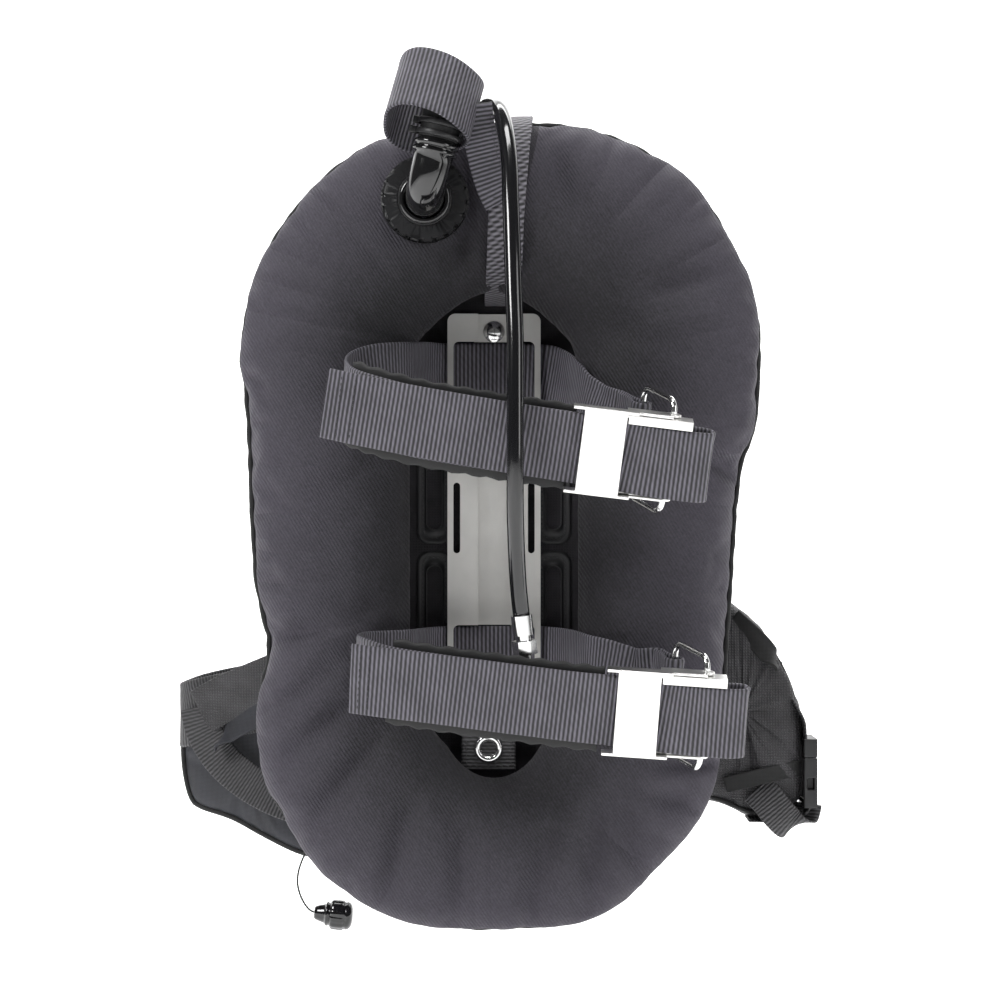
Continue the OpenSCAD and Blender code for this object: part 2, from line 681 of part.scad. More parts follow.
module elbow_ties() {
    color([0.06, 0.06, 0.06]) at_flange() for (z = [collar_h + 1, collar_h + 9])
        translate([0, -elbow_top, elbow_bend + z]) difference() {
            union() {
                cylinder(d = hose_d + 3.4, h = 4, $fn = 64);
                rotate([0, 0, 200 - z]) translate([hose_d / 2, -3, -0.8]) cube([7, 6, 5.6]);
            }
            translate([0, 0, -3]) cylinder(d = hose_d + 0.4, h = 12, $fn = 64);
        }
}

module corrugated_hose() {
    color([0.04, 0.04, 0.04]) sweep(smooth(hose_route, 2), hose_d, 12);
}

module hose_cuff() {
    color([0.2, 0.2, 0.2]) translate(cuff_at) rotate(cuff_tilt) difference() {
        cylinder(d = cuff_d, h = webbing_w, center = true, $fn = 96);
        cylinder(d = cuff_d - 2 * webbing_t, h = webbing_w + 2, center = true, $fn = 96);
    }
}

// The inflator's body hangs under the hose. Its buttons and mouthpiece point to the diver's right and front.
module inflator_body() {
    color([0.05, 0.05, 0.05]) translate(body_at) difference() {
        union() {
            translate([0, 0, -1.2]) rotate([180, 0, 0]) cylinder(r = body_r, h = body_h, $fn = 64);
            translate([0, 0, -14]) rotate([180, 0, 0]) cylinder(r = body_r + 2, h = 5, $fn = 64);
            translate([body_r - 4, 0, inlet_z]) rotate([0, 90, 0]) cylinder(d = 16, h = 16, $fn = 48);
            translate([37, 0, inlet_z - 8]) cylinder(d = 13, h = 30, $fn = 48);
            translate([27, 0, inlet_z]) rotate([0, 90, 0]) cylinder(d = 14, h = 14, $fn = 48);
            translate([0, 0, inlet_z - 28]) rotate([-90, 0, 0]) cylinder(d = button_d + 8, h = body_r + 6, $fn = 64);
            translate([0, 0, -body_h + 14]) rotate([-90, 0, 0]) cylinder(d = 22, h = body_r + 10, $fn = 64);
        }
        translate([0, body_r - 6, inlet_z - 28]) rotate([-90, 0, 0])
            cylinder(d = button_d + 2 * fit_gap, h = 20, $fn = 64);
        translate([0, 0, -body_h - 2]) cylinder(d = button_d + 2 * fit_gap, h = 11, $fn = 64);
    }
}

module inflate_button() {
    color([0.55, 0.06, 0.05]) translate(body_at + [0, body_r - 6 + button_travel + fit_gap, inlet_z - 28])
        rotate([-90, 0, 0]) cylinder(d = button_d, h = 12, $fn = 64);
}

module deflate_button() {
    color([0.3, 0.3, 0.32]) translate(body_at + [0, 0, -body_h - 1.2 - 6]) {
        cylinder(d = button_d, h = 10, $fn = 64);
    }
}

module mouthpiece() {
    color([0.07, 0.07, 0.07]) translate(body_at + [0, body_r + 10.1, -body_h + 14]) rotate([-90, 0, 0]) difference() {
        union() {
            cylinder(d = 27, h = 12, $fn = 64);
            translate([0, 0, 10]) intersection() {
                cylinder(d = 38, h = 8, $fn = 64);
                translate([-19, -11, 0]) cube([38, 22, 8]);
            }
        }
        translate([0, 0, -1]) cylinder(d = 15, h = 30, $fn = 64);
    }
}

// ---- Low-pressure hose ----

module lp_hose() {
    color([0.03, 0.03, 0.03]) sweep(lp_route, lp_d, 12);
}

lp_end = lp_route[len(lp_route) - 1];

module at_lp_end() {
    translate(lp_end) rotate(fitting_tilt) children();
}

module lp_ferrule() {
    color([0.85, 0.85, 0.85]) at_lp_end() translate([0, 0, 0.05]) {
        cylinder(d = lp_d + 3, h = ferrule_l - 4, $fn = 64);
        translate([0, 0, ferrule_l - 4]) cylinder(d = lp_d - 1, h = 4, $fn = 64);
    }
}

module lp_fitting() {
    color([0.8, 0.8, 0.8]) at_lp_end() translate([0, 0, ferrule_l + 0.1]) {
        cylinder(d = 15 / cos(30), h = nut_l, $fn = 6);
        translate([0, 0, nut_l]) cylinder(d = thread_d, h = thread_l, $fn = 64);
    }
}

qd_at = lp_route[0];

module qd_body() {
    color([0.8, 0.8, 0.8]) translate(qd_at) difference() {
        union() {
            translate([0, 0, -14]) cylinder(d = 15, h = 13.9, $fn = 64);
            translate([0, 0, -7]) cylinder(d = 19, h = 3, $fn = 64);
        }
        translate([0, 0, -20]) cylinder(d = 13.4, h = 12, $fn = 64);
    }
}

module qd_sleeve() {
    color([0.7, 0.7, 0.7]) translate(qd_at) difference() {
        translate([0, 0, -20]) cylinder(d = 20, h = 9.6, $fn = 64);
        translate([0, 0, -30]) cylinder(d = 15 + 2 * fit_gap, h = 40, $fn = 64);
    }
}

// ---- Dump valve ----

module at_dump() {
    translate(dump_at + [0, dump_face_y, 0]) rotate([-90, 0, 0]) children();
}

module dump_body() {
    color([0.05, 0.05, 0.05]) at_dump() difference() {
        union() {
            translate([0, 0, -5]) cylinder(d = dump_d + 6, h = 6, $fn = 64);
            cylinder(d = dump_d - 8, h = 8, $fn = 64);
        }
        translate([0, 0, -10]) cylinder(d = dump_d - 20, h = 30, $fn = 64);
    }
}

module dump_cap() {
    color([0.06, 0.06, 0.06]) at_dump() difference() {
        union() {
            translate([0, 0, 1.2]) cylinder(d = dump_d, h = 18, $fn = 64);
            rotate([0, 0, -34]) translate([-dump_d / 2 - 4, 0, 15]) rotate([0, 90, 0]) cylinder(d = 7, h = 10, $fn = 32);
        }
        translate([0, 0, -1]) cylinder(d = dump_d - 7.8, h = 9.4, $fn = 64);
        translate([0, 0, 7]) cylinder(d = dump_d - 10, h = 10, $fn = 64);
    }
}

module dump_seat() {
    color([0.5, 0.5, 0.5]) at_dump() translate([0, 0, 8.1]) {
        cylinder(d = dump_d - 16, h = 2, $fn = 64);
        translate([0, 0, -6]) cylinder(d = 8, h = 6.5, $fn = 32);
    }
}

module dump_cord() {
    color([0.03, 0.03, 0.03]) sweep(cord_route, cord_d, 8);
}

module dump_knob() {
    color([0.03, 0.03, 0.03]) translate(cord_route[len(cord_route) - 1]) rotate([0, 96, 0]) difference() {
        union() {
            translate([0, 0, 0.1]) cylinder(d1 = knob_d * 0.42, d2 = knob_d * 0.75, h = knob_l * 0.45, $fn = 64);
            translate([0, 0, knob_l * 0.42]) cylinder(d = knob_d, h = knob_l * 0.32, $fn = 64);
            translate([0, 0, knob_l * 0.3]) cylinder(d = knob_d * 0.82, h = 2, $fn = 64);
            translate([0, 0, knob_l * 0.74]) intersection() {
                translate([0, 0, -knob_d * 0.1]) sphere(d = knob_d * 0.98, $fn = 64);
                cylinder(d = knob_d, h = knob_l * 0.26, $fn = 64);
            }
        }
        translate([0, 0, knob_l - 6]) cylinder(d = 6, h = 10, $fn = 32);
    }
}

// ---- Harness ----

module shoulder_strap(route) {
    path = smooth(route, 3);
    color([0.1, 0.1, 0.1]) strap(path, all_along(path, [1, 0, 0]), webbing_w, webbing_t);
}

module shoulder_pad(path) {
    part = smooth(part_of(path, pad_first, pad_last), 3);
    lowered = [for (i = [0:len(part) - 1]) part[i]
        + cross(heading(part, i), square_to([1, 0, 0], heading(part, i))) * (webbing_t / 2 + 6.2)];
    color([0.12, 0.12, 0.12]) strap(lowered, all_along(lowered, [1, 0, 0]), webbing_w + 18, 10);
}

module shoulder_strap_left() {
    shoulder_strap(mirrored(shoulder_route));
}

module shoulder_strap_right() {
    shoulder_strap(shoulder_route);
}

module shoulder_pad_left() {
    shoulder_pad(mirrored(shoulder_route));
}

module shoulder_pad_right() {
    shoulder_pad(shoulder_route);
}

// A side-release buckle. Local +X runs from the socket to the prong half, Z is the webbing's width.
module release_socket(w, l) {
    difference() {
        translate([-l, -5, -w / 2]) cube([l, 10, w]);
        translate([-l + 8, -2.8, -w / 2 + 3]) cube([l, 5.6, w - 6]);
        translate([-l + 3, -6, -w / 2 + 5]) cube([3, 12, w - 10]);
        for (s = [-1, 1]) translate([-l + 14, -2.8, s * w / 2 - 5]) cube([9, 5.6, 10]);
    }
}

module release_prongs(w, l) {
    reach = l - 12;
    difference() {
        translate([fit_gap, -5, -w / 2]) cube([14, 10, w]);
        translate([9, -6, -w / 2 + 5]) cube([3, 12, w - 10]);
    }
    for (s = [-1, 1]) translate([-reach, -2.2, s * (w / 2 - 8) - 3]) cube([reach + 2, 4.4, 6]);
    translate([-reach + 4, -2.2, -2]) cube([reach, 4.4, 4]);
}

module at_chest() {
    translate([0, chest_y, chest_z]) children();
}

module chest_strap() {
    color([0.1, 0.1, 0.1]) at_chest() {
        translate([0, 0, -chest_w / 2]) linear_extrude(chest_w) polygon([
            [-104, chest_back], [-58, chest_back], [-chest_l - 2, -1], [-chest_l - 2, 1],
            [-57, chest_back + 2], [-104, chest_back + 2]]);
        translate([5, chest_back, -chest_w / 2]) cube([99, 2, chest_w]);
    }
}

module chest_buckle_female() {
    color([0.06, 0.06, 0.06]) at_chest() release_socket(chest_w + 8, chest_l);
}

module chest_buckle_male() {
    color([0.06, 0.06, 0.06]) at_chest() release_prongs(chest_w + 8, chest_l);
}

module waist_belt(route) {
    path = smooth(route, 3);
    color([0.1, 0.1, 0.1]) strap(path, all_along(path, [0, 0, 1]), webbing_w, webbing_t);
}

module waist_belt_left() {
    waist_belt(belt_route_left);
}

module waist_belt_right() {
    waist_belt(belt_route_right);
}

module at_waist() {
    translate([0, belt_y, belt_z]) children();
}

module waist_buckle_female() {
    color([0.06, 0.06, 0.06]) at_waist() release_socket(webbing_w + 12, waist_l);
}

module waist_buckle_male() {
    color([0.06, 0.06, 0.06]) at_waist() release_prongs(webbing_w + 12, waist_l);
}

module hip_pad_left() {
    color([0.1, 0.1, 0.1]) translate([-187, 61, -492]) rotate([0, 0, -22]) plate(100, 128, 9, 26);
}

pocket_top_z = -361;
pocket_at = [186, 34, pocket_top_z - pocket_h / 2];
pocket_r = 16;
pocket_w = 88;

module weight_pocket() {
    color([0.11, 0.11, 0.1]) translate(pocket_at) plate(pocket_w, pocket_h, pocket_d, pocket_r);
}

pocket_buckle_at = [pocket_at[0] + pocket_w / 2 + 6.4, pocket_at[1] + 14, -476];

module at_pocket_buckle() {
    translate(pocket_buckle_at) rotate([0, 0, 90]) rotate([0, -90, 0]) children();
}

module pocket_buckle_female() {
    color([0.05, 0.05, 0.05]) at_pocket_buckle() release_socket(46, 38);
}

module pocket_buckle_male() {
    color([0.05, 0.05, 0.05]) at_pocket_buckle() release_prongs(46, 38);
}

wing_bladder();
wing_binding();
centre_panel();
slot_patches();
sta_plate();
sta_bolts();
sta_nuts();
backplate();
back_pad();
carry_strap();
lower_tab();
grommet();
upper_band();
upper_band_pad();
upper_buckle_frame();
upper_buckle_lever();
upper_wire_link();
lower_band();
lower_band_pad();
lower_buckle_frame();
lower_buckle_lever();
lower_wire_link();
flange_base();
flange_nut();
elbow();
elbow_ties();
corrugated_hose();
hose_cuff();
inflator_body();
inflate_button();
deflate_button();
mouthpiece();
lp_hose();
lp_ferrule();
lp_fitting();
qd_body();
qd_sleeve();
dump_body();
dump_cap();
dump_seat();
dump_cord();
dump_knob();
shoulder_strap_left();
shoulder_strap_right();
shoulder_pad_left();
shoulder_pad_right();
chest_strap();
chest_buckle_female();
chest_buckle_male();
waist_belt_left();
waist_belt_right();
waist_buckle_female();
waist_buckle_male();
hip_pad_left();
weight_pocket();
pocket_buckle_female();
pocket_buckle_male();
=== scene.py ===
# %% [markdown]
# # Buoyancy compensator vest
# A donut-shaped air wing on a backplate, seen from the tank's side. This script dresses a finished
# engineering model: the hard parts come from that model, and the soft parts are sewn, inflated and
# routed here. All lengths are in metres; +Z is up and -Y is the tank's side.

# %% Tools and the fixed model
import math

import bmesh
import bpy
from mathutils import Matrix, Vector, noise


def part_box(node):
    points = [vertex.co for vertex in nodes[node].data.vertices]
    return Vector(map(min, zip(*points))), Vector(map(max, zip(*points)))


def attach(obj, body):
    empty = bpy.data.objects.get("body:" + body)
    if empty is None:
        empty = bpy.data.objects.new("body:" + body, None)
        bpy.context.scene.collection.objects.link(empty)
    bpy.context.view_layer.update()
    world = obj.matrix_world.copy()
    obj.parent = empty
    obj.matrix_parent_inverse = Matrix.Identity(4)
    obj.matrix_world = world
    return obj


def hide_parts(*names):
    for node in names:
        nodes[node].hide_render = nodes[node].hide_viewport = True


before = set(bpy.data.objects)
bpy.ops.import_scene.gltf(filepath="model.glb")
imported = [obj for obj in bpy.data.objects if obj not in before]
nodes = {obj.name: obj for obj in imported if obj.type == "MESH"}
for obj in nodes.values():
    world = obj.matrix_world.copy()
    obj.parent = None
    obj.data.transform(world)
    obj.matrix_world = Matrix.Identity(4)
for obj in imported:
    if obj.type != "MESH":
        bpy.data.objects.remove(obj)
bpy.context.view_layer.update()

# %% [markdown]
# ## Camera
# A long lens from a little over two metres keeps the round wing from bulging. The camera looks
# straight along +Y at the middle of the vest.

# %% Camera
camera_data = bpy.data.cameras.new("camera")
camera_data.lens, camera_data.sensor_width = 107, 36
camera_data.clip_end = 20
camera = bpy.data.objects.new("camera", camera_data)
bpy.context.collection.objects.link(camera)
camera.location = (0.0015, -2.22, -0.281)
camera.rotation_euler = (math.radians(90), 0, 0)
bpy.context.scene.camera = camera

# %% [markdown]
# ## Finishes
# Every finish is a small tree of nodes round one Principled BSDF. `add` makes a node, sets its
# options and plugs in its inputs, so that each recipe below stays short. Patterns that must follow a
# strap read the attribute `weave`, which holds the distance across and along it in metres.

# %% Helpers for finishes
def add(tree, kind, into=None, **options):
    node = tree.nodes.new(kind)
    for option, value in options.items():
        setattr(node, option, value)
    for socket, value in (into or {}).items():
        if isinstance(value, bpy.types.NodeSocket):
            tree.links.new(value, node.inputs[socket])
        else:
            node.inputs[socket].default_value = value
    return node


def start_finish(name, colour, roughness, **sockets):
    finish = bpy.data.materials.new(name)
    finish.use_nodes = True
    finish.diffuse_color = (*colour, 1)
    shader = finish.node_tree.nodes["Principled BSDF"]
    shader.inputs["Base Color"].default_value = (*colour, 1)
    shader.inputs["Roughness"].default_value = roughness
    for socket, value in sockets.items():
        shader.inputs[socket.replace("_", " ")].default_value = value
    return finish, finish.node_tree, shader


def object_point(tree):
    return add(tree, "ShaderNodeTexCoord").outputs["Object"]


def weave_point(tree):
    return add(tree, "ShaderNodeAttribute", attribute_name="weave").outputs["Vector"]


def noise_map(tree, point, scale, detail=3):
    return add(tree, "ShaderNodeTexNoise", {"Vector": point, "Scale": scale, "Detail": detail}).outputs["Fac"]


def ribs(tree, point, pitch, direction, distortion=0.0):
    """Bands that repeat every `pitch` metres along one direction of the pattern's space."""
    return add(tree, "ShaderNodeTexWave", {"Vector": point, "Scale": 2 * math.pi / (20 * pitch),
        "Distortion": distortion, "Detail": 0.0}, bands_direction=direction).outputs["Fac"]


def blend_colours(tree, share, first, second):
    ramp = add(tree, "ShaderNodeValToRGB", {"Fac": share})
    ramp.color_ramp.elements[0].color = (*first, 1)
    ramp.color_ramp.elements[1].color = (*second, 1)
    return ramp


def plus(tree, first, second, share):
    return add(tree, "ShaderNodeMath", {0: second, 1: share, 2: first}, operation="MULTIPLY_ADD").outputs[0]


def set_bump(tree, shader, height, distance, strength=1.0):
    bump = add(tree, "ShaderNodeBump", {"Height": height, "Distance": distance, "Strength": strength})
    tree.links.new(bump.outputs["Normal"], shader.inputs["Normal"])


# %% [markdown]
# The wing's cover is a dark twill: fine diagonal ribs with a little slack in them. Its colour is painted
# shade: it goes from nearly black by the plate, where the cloth falls into the well, to a dusty
# grey-violet near the outer seam, as the attribute `rim` says. The sheen gives the soft grey bloom
# of brushed nylon at grazing angles.

# %% Fabrics
def twill_finish():
    finish, tree, shader = start_finish("wing_twill", (0.05, 0.046, 0.052), 0.8, Sheen_Weight=0.05, Sheen_Roughness=0.4)
    point = object_point(tree)
    rim = add(tree, "ShaderNodeAttribute", attribute_name="rim").outputs["Fac"]
    # painted shade: darker away from the outer seam toward the plate, with random mottling over it
    seam_shade_and_mottle = plus(tree, rim, noise_map(tree, point, 14), 0.3)
    turned = add(tree, "ShaderNodeMapping", {"Vector": point, "Rotation": (0, math.radians(32), 0)}).outputs["Vector"]
    diagonal = ribs(tree, turned, 0.0022, "X", 0.5)
    flecks = noise_map(tree, point, 520, 2)
    shade = plus(tree, plus(tree, seam_shade_and_mottle, diagonal, 0.16), flecks, 0.75)
    ramp = blend_colours(tree, shade, (0.006, 0.0052, 0.0072), (0.062, 0.055, 0.074))
    ramp.color_ramp.elements[0].position, ramp.color_ramp.elements[1].position = 0.3, 1.0
    tree.links.new(add(tree, "ShaderNodeMath", {0: shade, 1: 1.7}, operation="DIVIDE").outputs[0], ramp.inputs["Fac"])
    tree.links.new(ramp.outputs["Color"], shader.inputs["Base Color"])
    gather = add(tree, "ShaderNodeMapping", {"Vector": weave_point(tree), "Scale": (20, 5, 1)}).outputs["Vector"]
    offset = add(tree, "ShaderNodeMath", {0: noise_map(tree, gather, 1.0, 1), 1: 0.5}, operation="SUBTRACT").outputs[0]
    ridge = add(tree, "ShaderNodeMath", {0: offset}, operation="ABSOLUTE").outputs[0]
    lifted = add(tree, "ShaderNodeMath", {0: ridge, 1: 9.0}, operation="MULTIPLY").outputs[0]
    pinched = add(tree, "ShaderNodeMath", {0: lifted, 1: 1.0}, operation="MINIMUM").outputs[0]
    creases = add(tree, "ShaderNodeMath", {0: pinched, 1: rim}, operation="MULTIPLY").outputs[0]
    bump = add(tree, "ShaderNodeBump", {"Height": creases, "Distance": 0.005, "Strength": 0.8})
    weave_bump = add(tree, "ShaderNodeBump", {"Height": plus(tree, diagonal, flecks, 1.2), "Distance": 0.0005, "Strength": 0.6,
        "Normal": bump.outputs["Normal"]})
    tree.links.new(weave_bump.outputs["Normal"], shader.inputs["Normal"])
    return finish


def plain_fabric(name, dark, light, pitch, roughness, bump=0.0004):
    """A plain over-and-under weave on Object coordinates."""
    finish, tree, shader = start_finish(name, light, roughness, Sheen_Weight=0.05)
    point = object_point(tree)
    across, upright = ribs(tree, point, pitch, "X", 0.4), ribs(tree, point, pitch, "Z", 0.4)
    threads = add(tree, "ShaderNodeMath", {0: across, 1: upright}, operation="MULTIPLY").outputs[0]
    ramp = blend_colours(tree, plus(tree, noise_map(tree, point, 45), threads, 0.4), dark, light)
    ramp.color_ramp.elements[0].position = 0.3
    tree.links.new(ramp.outputs["Color"], shader.inputs["Base Color"])
    set_bump(tree, shader, plus(tree, threads, noise_map(tree, point, 160), 1.0), bump, 0.7)
    return finish


def webbing_finish(name, dark, light, rib, roughness=0.6, dots=0.5):
    """Woven tape: ribs across it every `rib` metres, with a slanting line of dots between them."""
    finish, tree, shader = start_finish(name, light, roughness, Sheen_Weight=0.05)
    point = weave_point(tree)
    crosswise = ribs(tree, point, rib, "Y", 0.15)
    turned = add(tree, "ShaderNodeMapping", {"Vector": point, "Rotation": (0, 0, math.radians(52))}).outputs["Vector"]
    slanting = ribs(tree, turned, rib * 1.3, "X", 0.2)
    pattern = plus(tree, crosswise, slanting, dots)
    share = plus(tree, pattern, noise_map(tree, object_point(tree), 60), 0.5)
    share = add(tree, "ShaderNodeMath", {0: share, 1: 1.5 + dots}, operation="DIVIDE").outputs[0]
    ramp = blend_colours(tree, share, dark, light)
    ramp.color_ramp.elements[0].position, ramp.color_ramp.elements[1].position = 0.28, 0.85
    tree.links.new(ramp.outputs["Color"], shader.inputs["Base Color"])
    set_bump(tree, shader, pattern, 0.0006, 0.8)
    return finish


wing_twill = twill_finish()
panel_cloth = plain_fabric("panel_cloth", (0.007, 0.0065, 0.008), (0.03, 0.027, 0.034), 0.0012, 0.8)
pad_cloth = plain_fabric("pad_cloth", (0.014, 0.014, 0.016), (0.04, 0.04, 0.043), 0.0018, 0.75)
pocket_cloth = plain_fabric("pocket_cloth", (0.007, 0.0068, 0.0078), (0.05, 0.048, 0.053), 0.0021, 0.6, 0.0007)
pad_lining = plain_fabric("pad_lining", (0.008, 0.0085, 0.012), (0.022, 0.023, 0.032), 0.001, 0.6)
band_webbing = webbing_finish("band_webbing", (0.012, 0.0112, 0.014), (0.15, 0.142, 0.172), 0.0031, dots=0.12)
harness_webbing = webbing_finish("harness_webbing", (0.008, 0.008, 0.0085), (0.07, 0.068, 0.074), 0.0026, dots=0.25)
handle_webbing = webbing_finish("handle_webbing", (0.007, 0.0065, 0.008), (0.2, 0.19, 0.22), 0.0034, 0.6, 1.2)
binding_tape = plain_fabric("binding_tape", (0.004, 0.004, 0.004), (0.016, 0.016, 0.017), 0.001, 0.75)
print("fabrics:", len([m for m in bpy.data.materials if m.use_nodes]))

# %% [markdown]
# The hard finishes are simpler. Blasted steel is a rough metal with a fine grain in its roughness and
# its bump, polished steel is nearly a mirror with faint smudges, and moulded plastic and rubber are
# dark with a grain whose size tells them apart.

# %% Metals, plastics and rubber
def grained(name, colour, roughness, grain, depth, spread=0.12, **sockets):
    finish, tree, shader = start_finish(name, colour, roughness, **sockets)
    point = object_point(tree)
    fine, smudge = noise_map(tree, point, grain, 2), noise_map(tree, point, 28)
    ramp = blend_colours(tree, smudge, tuple(c * 0.82 for c in colour), tuple(min(1, c * 1.12) for c in colour))
    tree.links.new(ramp.outputs["Color"], shader.inputs["Base Color"])
    rough = add(tree, "ShaderNodeMapRange", {"Value": plus(tree, smudge, fine, 0.5), "From Max": 1.5,
        "To Min": max(0.02, roughness - spread), "To Max": roughness + spread}).outputs["Result"]
    tree.links.new(rough, shader.inputs["Roughness"])
    set_bump(tree, shader, fine, depth, 0.6)
    return finish


blasted_steel = grained("blasted_steel", (0.78, 0.77, 0.745), 0.42, 1400, 0.00012, 0.08, Metallic=1.0)
buckle_steel = grained("buckle_steel", (0.9, 0.89, 0.87), 0.3, 700, 0.00006, 0.08, Metallic=1.0)
polished_steel = grained("polished_steel", (0.72, 0.72, 0.72), 0.14, 300, 0.00002, 0.06, Metallic=1.0)
black_plate = grained("black_plate", (0.02, 0.02, 0.021), 0.45, 900, 0.0001)
gloss_black = grained("gloss_black", (0.006, 0.006, 0.0065), 0.1, 120, 0.00003, 0.05, Coat_Weight=0.6, Coat_Roughness=0.05)
satin_black = grained("satin_black", (0.012, 0.012, 0.013), 0.36, 600, 0.00008)
moulded_black = grained("moulded_black", (0.014, 0.014, 0.015), 0.42, 900, 0.0001)
hose_rubber = grained("hose_rubber", (0.005, 0.005, 0.006), 0.14, 420, 0.00003, 0.04, Coat_Weight=0.4, Coat_Roughness=0.06)
band_rubber = grained("band_rubber", (0.012, 0.012, 0.0125), 0.62, 800, 0.00012)
patch_rubber = grained("patch_rubber", (0.016, 0.016, 0.018), 0.48, 500, 0.0001)
button_red = grained("button_red", (0.42, 0.03, 0.025), 0.28, 300, 0.00003)
button_grey = grained("button_grey", (0.17, 0.17, 0.18), 0.4, 500, 0.00005)
thread_black = grained("thread_black", (0.03, 0.03, 0.032), 0.5, 2000, 0.00005)
cord_black = grained("cord_black", (0.01, 0.01, 0.01), 0.6, 1500, 0.0002)

# %% [markdown]
# ## Shaping tools
# Most soft parts here are lofts: a closed loop of edges is pulled along with
# `bmesh.ops.extrude_edge_only`, and each new loop is put in its place. A strap's loop is its thin
# cross-section, a hose's is a circle, and the wing's is the whole outline of the vest. A route is a
# few given points with a Catmull-Rom curve through them, the same one as the engineering model
# uses, so that both agree.

# %% Routes
def between(a, b, c, d, u):
    return 0.5 * (2 * b + (c - a) * u + (2 * a - 5 * b + 4 * c - d) * u * u + (3 * b - a - 3 * c + d) * u ** 3)


def smooth(points, steps):
    points = [Vector(p) for p in points]
    last = len(points) - 1
    route = [between(points[max(i - 1, 0)], points[i], points[i + 1], points[min(i + 2, last)], s / steps)
             for i in range(last) for s in range(steps)]
    return route + [points[-1]]


def smooth_closed(points, steps):
    points = [Vector(p) for p in points]
    n = len(points)
    return [between(points[i - 1], points[i], points[(i + 1) % n], points[(i + 2) % n], s / steps)
            for i in range(n) for s in range(steps)]


def heading(route, i):
    return (route[min(i + 1, len(route) - 1)] - route[max(i - 1, 0)]).normalized()


def square_to(direction, along):
    return (direction - direction.dot(along) * along).normalized()


def lengths(route):
    run = [0.0]
    for a, b in zip(route, route[1:]):
        run.append(run[-1] + (b - a).length)
    return run


def millimetres(points):
    return [Vector(p) / 1000 for p in points]


# %% Lofts
def begin_loop(bm, places):
    loop = [bm.verts.new(p) for p in places]
    for a, b in zip(loop, loop[1:] + loop[:1]):
        bm.edges.new((a, b))
    return loop


def pull_loop(bm, loop, places):
    """Extrudes a closed loop of edges and puts each new vertex in its place."""
    edges = [bm.edges.get((a, b)) for a, b in zip(loop, loop[1:] + loop[:1])]
    made = bmesh.ops.extrude_edge_only(bm, edges=edges)["geom"]
    fresh = {v for v in made if isinstance(v, bmesh.types.BMVert)}
    pulled = [next(e.other_vert(v) for e in v.link_edges if e.other_vert(v) in fresh) for v in loop]
    for v, p in zip(pulled, places):
        v.co = p
    return pulled


def close_end(bm, loop):
    bmesh.ops.contextual_create(bm, geom=[bm.edges.get((a, b)) for a, b in zip(loop, loop[1:] + loop[:1])])


def loft(bm, rings, closed=False, weave=None):
    """Pulls the first ring through all the others. `weave` gives each vertex its place in a pattern."""
    layer = bm.verts.layers.float_vector.get("weave") or bm.verts.layers.float_vector.new("weave")
    rings = rings + [rings[0]] if closed else rings
    loop = first = begin_loop(bm, rings[0])
    for i, ring in enumerate(rings):
        if i:
            loop = pull_loop(bm, loop, ring)
        if weave:
            for v, w in zip(loop, weave[i % len(weave)]):
                v[layer] = w
    if not closed:
        close_end(bm, first)
        close_end(bm, loop)
    bmesh.ops.remove_doubles(bm, verts=bm.verts, dist=1e-6)
    return bm


def make_piece(name, bm, finish, slot=None, replaces=(), body="root", bevel=0.0, rounds=0):
    """Turns a bmesh into a finished object at the origin that rides on a body of the model."""
    bmesh.ops.recalc_face_normals(bm, faces=bm.faces)
    mesh = bpy.data.meshes.new(name)
    bm.to_mesh(mesh)
    bm.free()
    mesh.shade_smooth()
    mesh.materials.append(finish)
    piece = bpy.data.objects.new(name, mesh)
    bpy.context.collection.objects.link(piece)
    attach(piece, body)
    if replaces:
        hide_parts(*replaces)
    if bevel:
        edge = piece.modifiers.new("edges", "BEVEL")
        edge.width, edge.segments, edge.limit_method, edge.angle_limit = bevel, 2, "ANGLE", math.radians(35)
        piece.modifiers.new("shading", "WEIGHTED_NORMAL").keep_sharp = True
    if rounds:
        soft = piece.modifiers.new("rounding", "SUBSURF")
        soft.levels = soft.render_levels = rounds
    return piece


# %% [markdown]
# Webbing is modelled directly: its section is a flat lens with a thicker woven edge. A tube is a
# circle pulled along a route, and its directions are carried from ring to ring so that it never
# twists.

# %% Straps and tubes
STRAP_SECTION = [(-1, 0), (-0.985, 0.75), (-0.93, 1.0), (-0.8, 0.86), (-0.4, 0.84), (0, 0.84), (0.4, 0.84), (0.8, 0.86),
                 (0.93, 1.0), (0.985, 0.75), (1, 0), (0.985, -0.75), (0.93, -1.0), (0.8, -0.86), (0.4, -0.84), (0, -0.84),
                 (-0.4, -0.84), (-0.8, -0.86), (-0.93, -1.0), (-0.985, -0.75)]


def strap_rings(route, directions, width, thickness, ripple=0.0):
    run, rings, weave = lengths(route), [], []
    for i, p in enumerate(route):
        along = heading(route, i)
        across = square_to(Vector(directions[i]), along)
        out = along.cross(across)
        ring = []
        for a, n in STRAP_SECTION:
            shift = ripple * noise.noise(Vector((a * 1.5, run[i] * 55, width * 90)))
            ring.append(p + across * a * width / 2 + out * (n * thickness / 2 + shift))
        rings.append(ring)
        weave.append([Vector((a * width / 2, run[i], 0)) for a, n in STRAP_SECTION])
    return rings, weave


def strap(name, route, directions, width, thickness, finish, ripple=0.0004, **fit):
    if not isinstance(directions, list):
        directions = [directions] * len(route)
    rings, weave = strap_rings(route, directions, width, thickness, ripple)
    piece = make_piece(name, loft(bmesh.new(), rings, weave=weave), finish, **fit)
    print(f"{name}: {lengths(route)[-1] * 1000:.0f} mm of {width * 1000:.0f} mm webbing")
    return piece


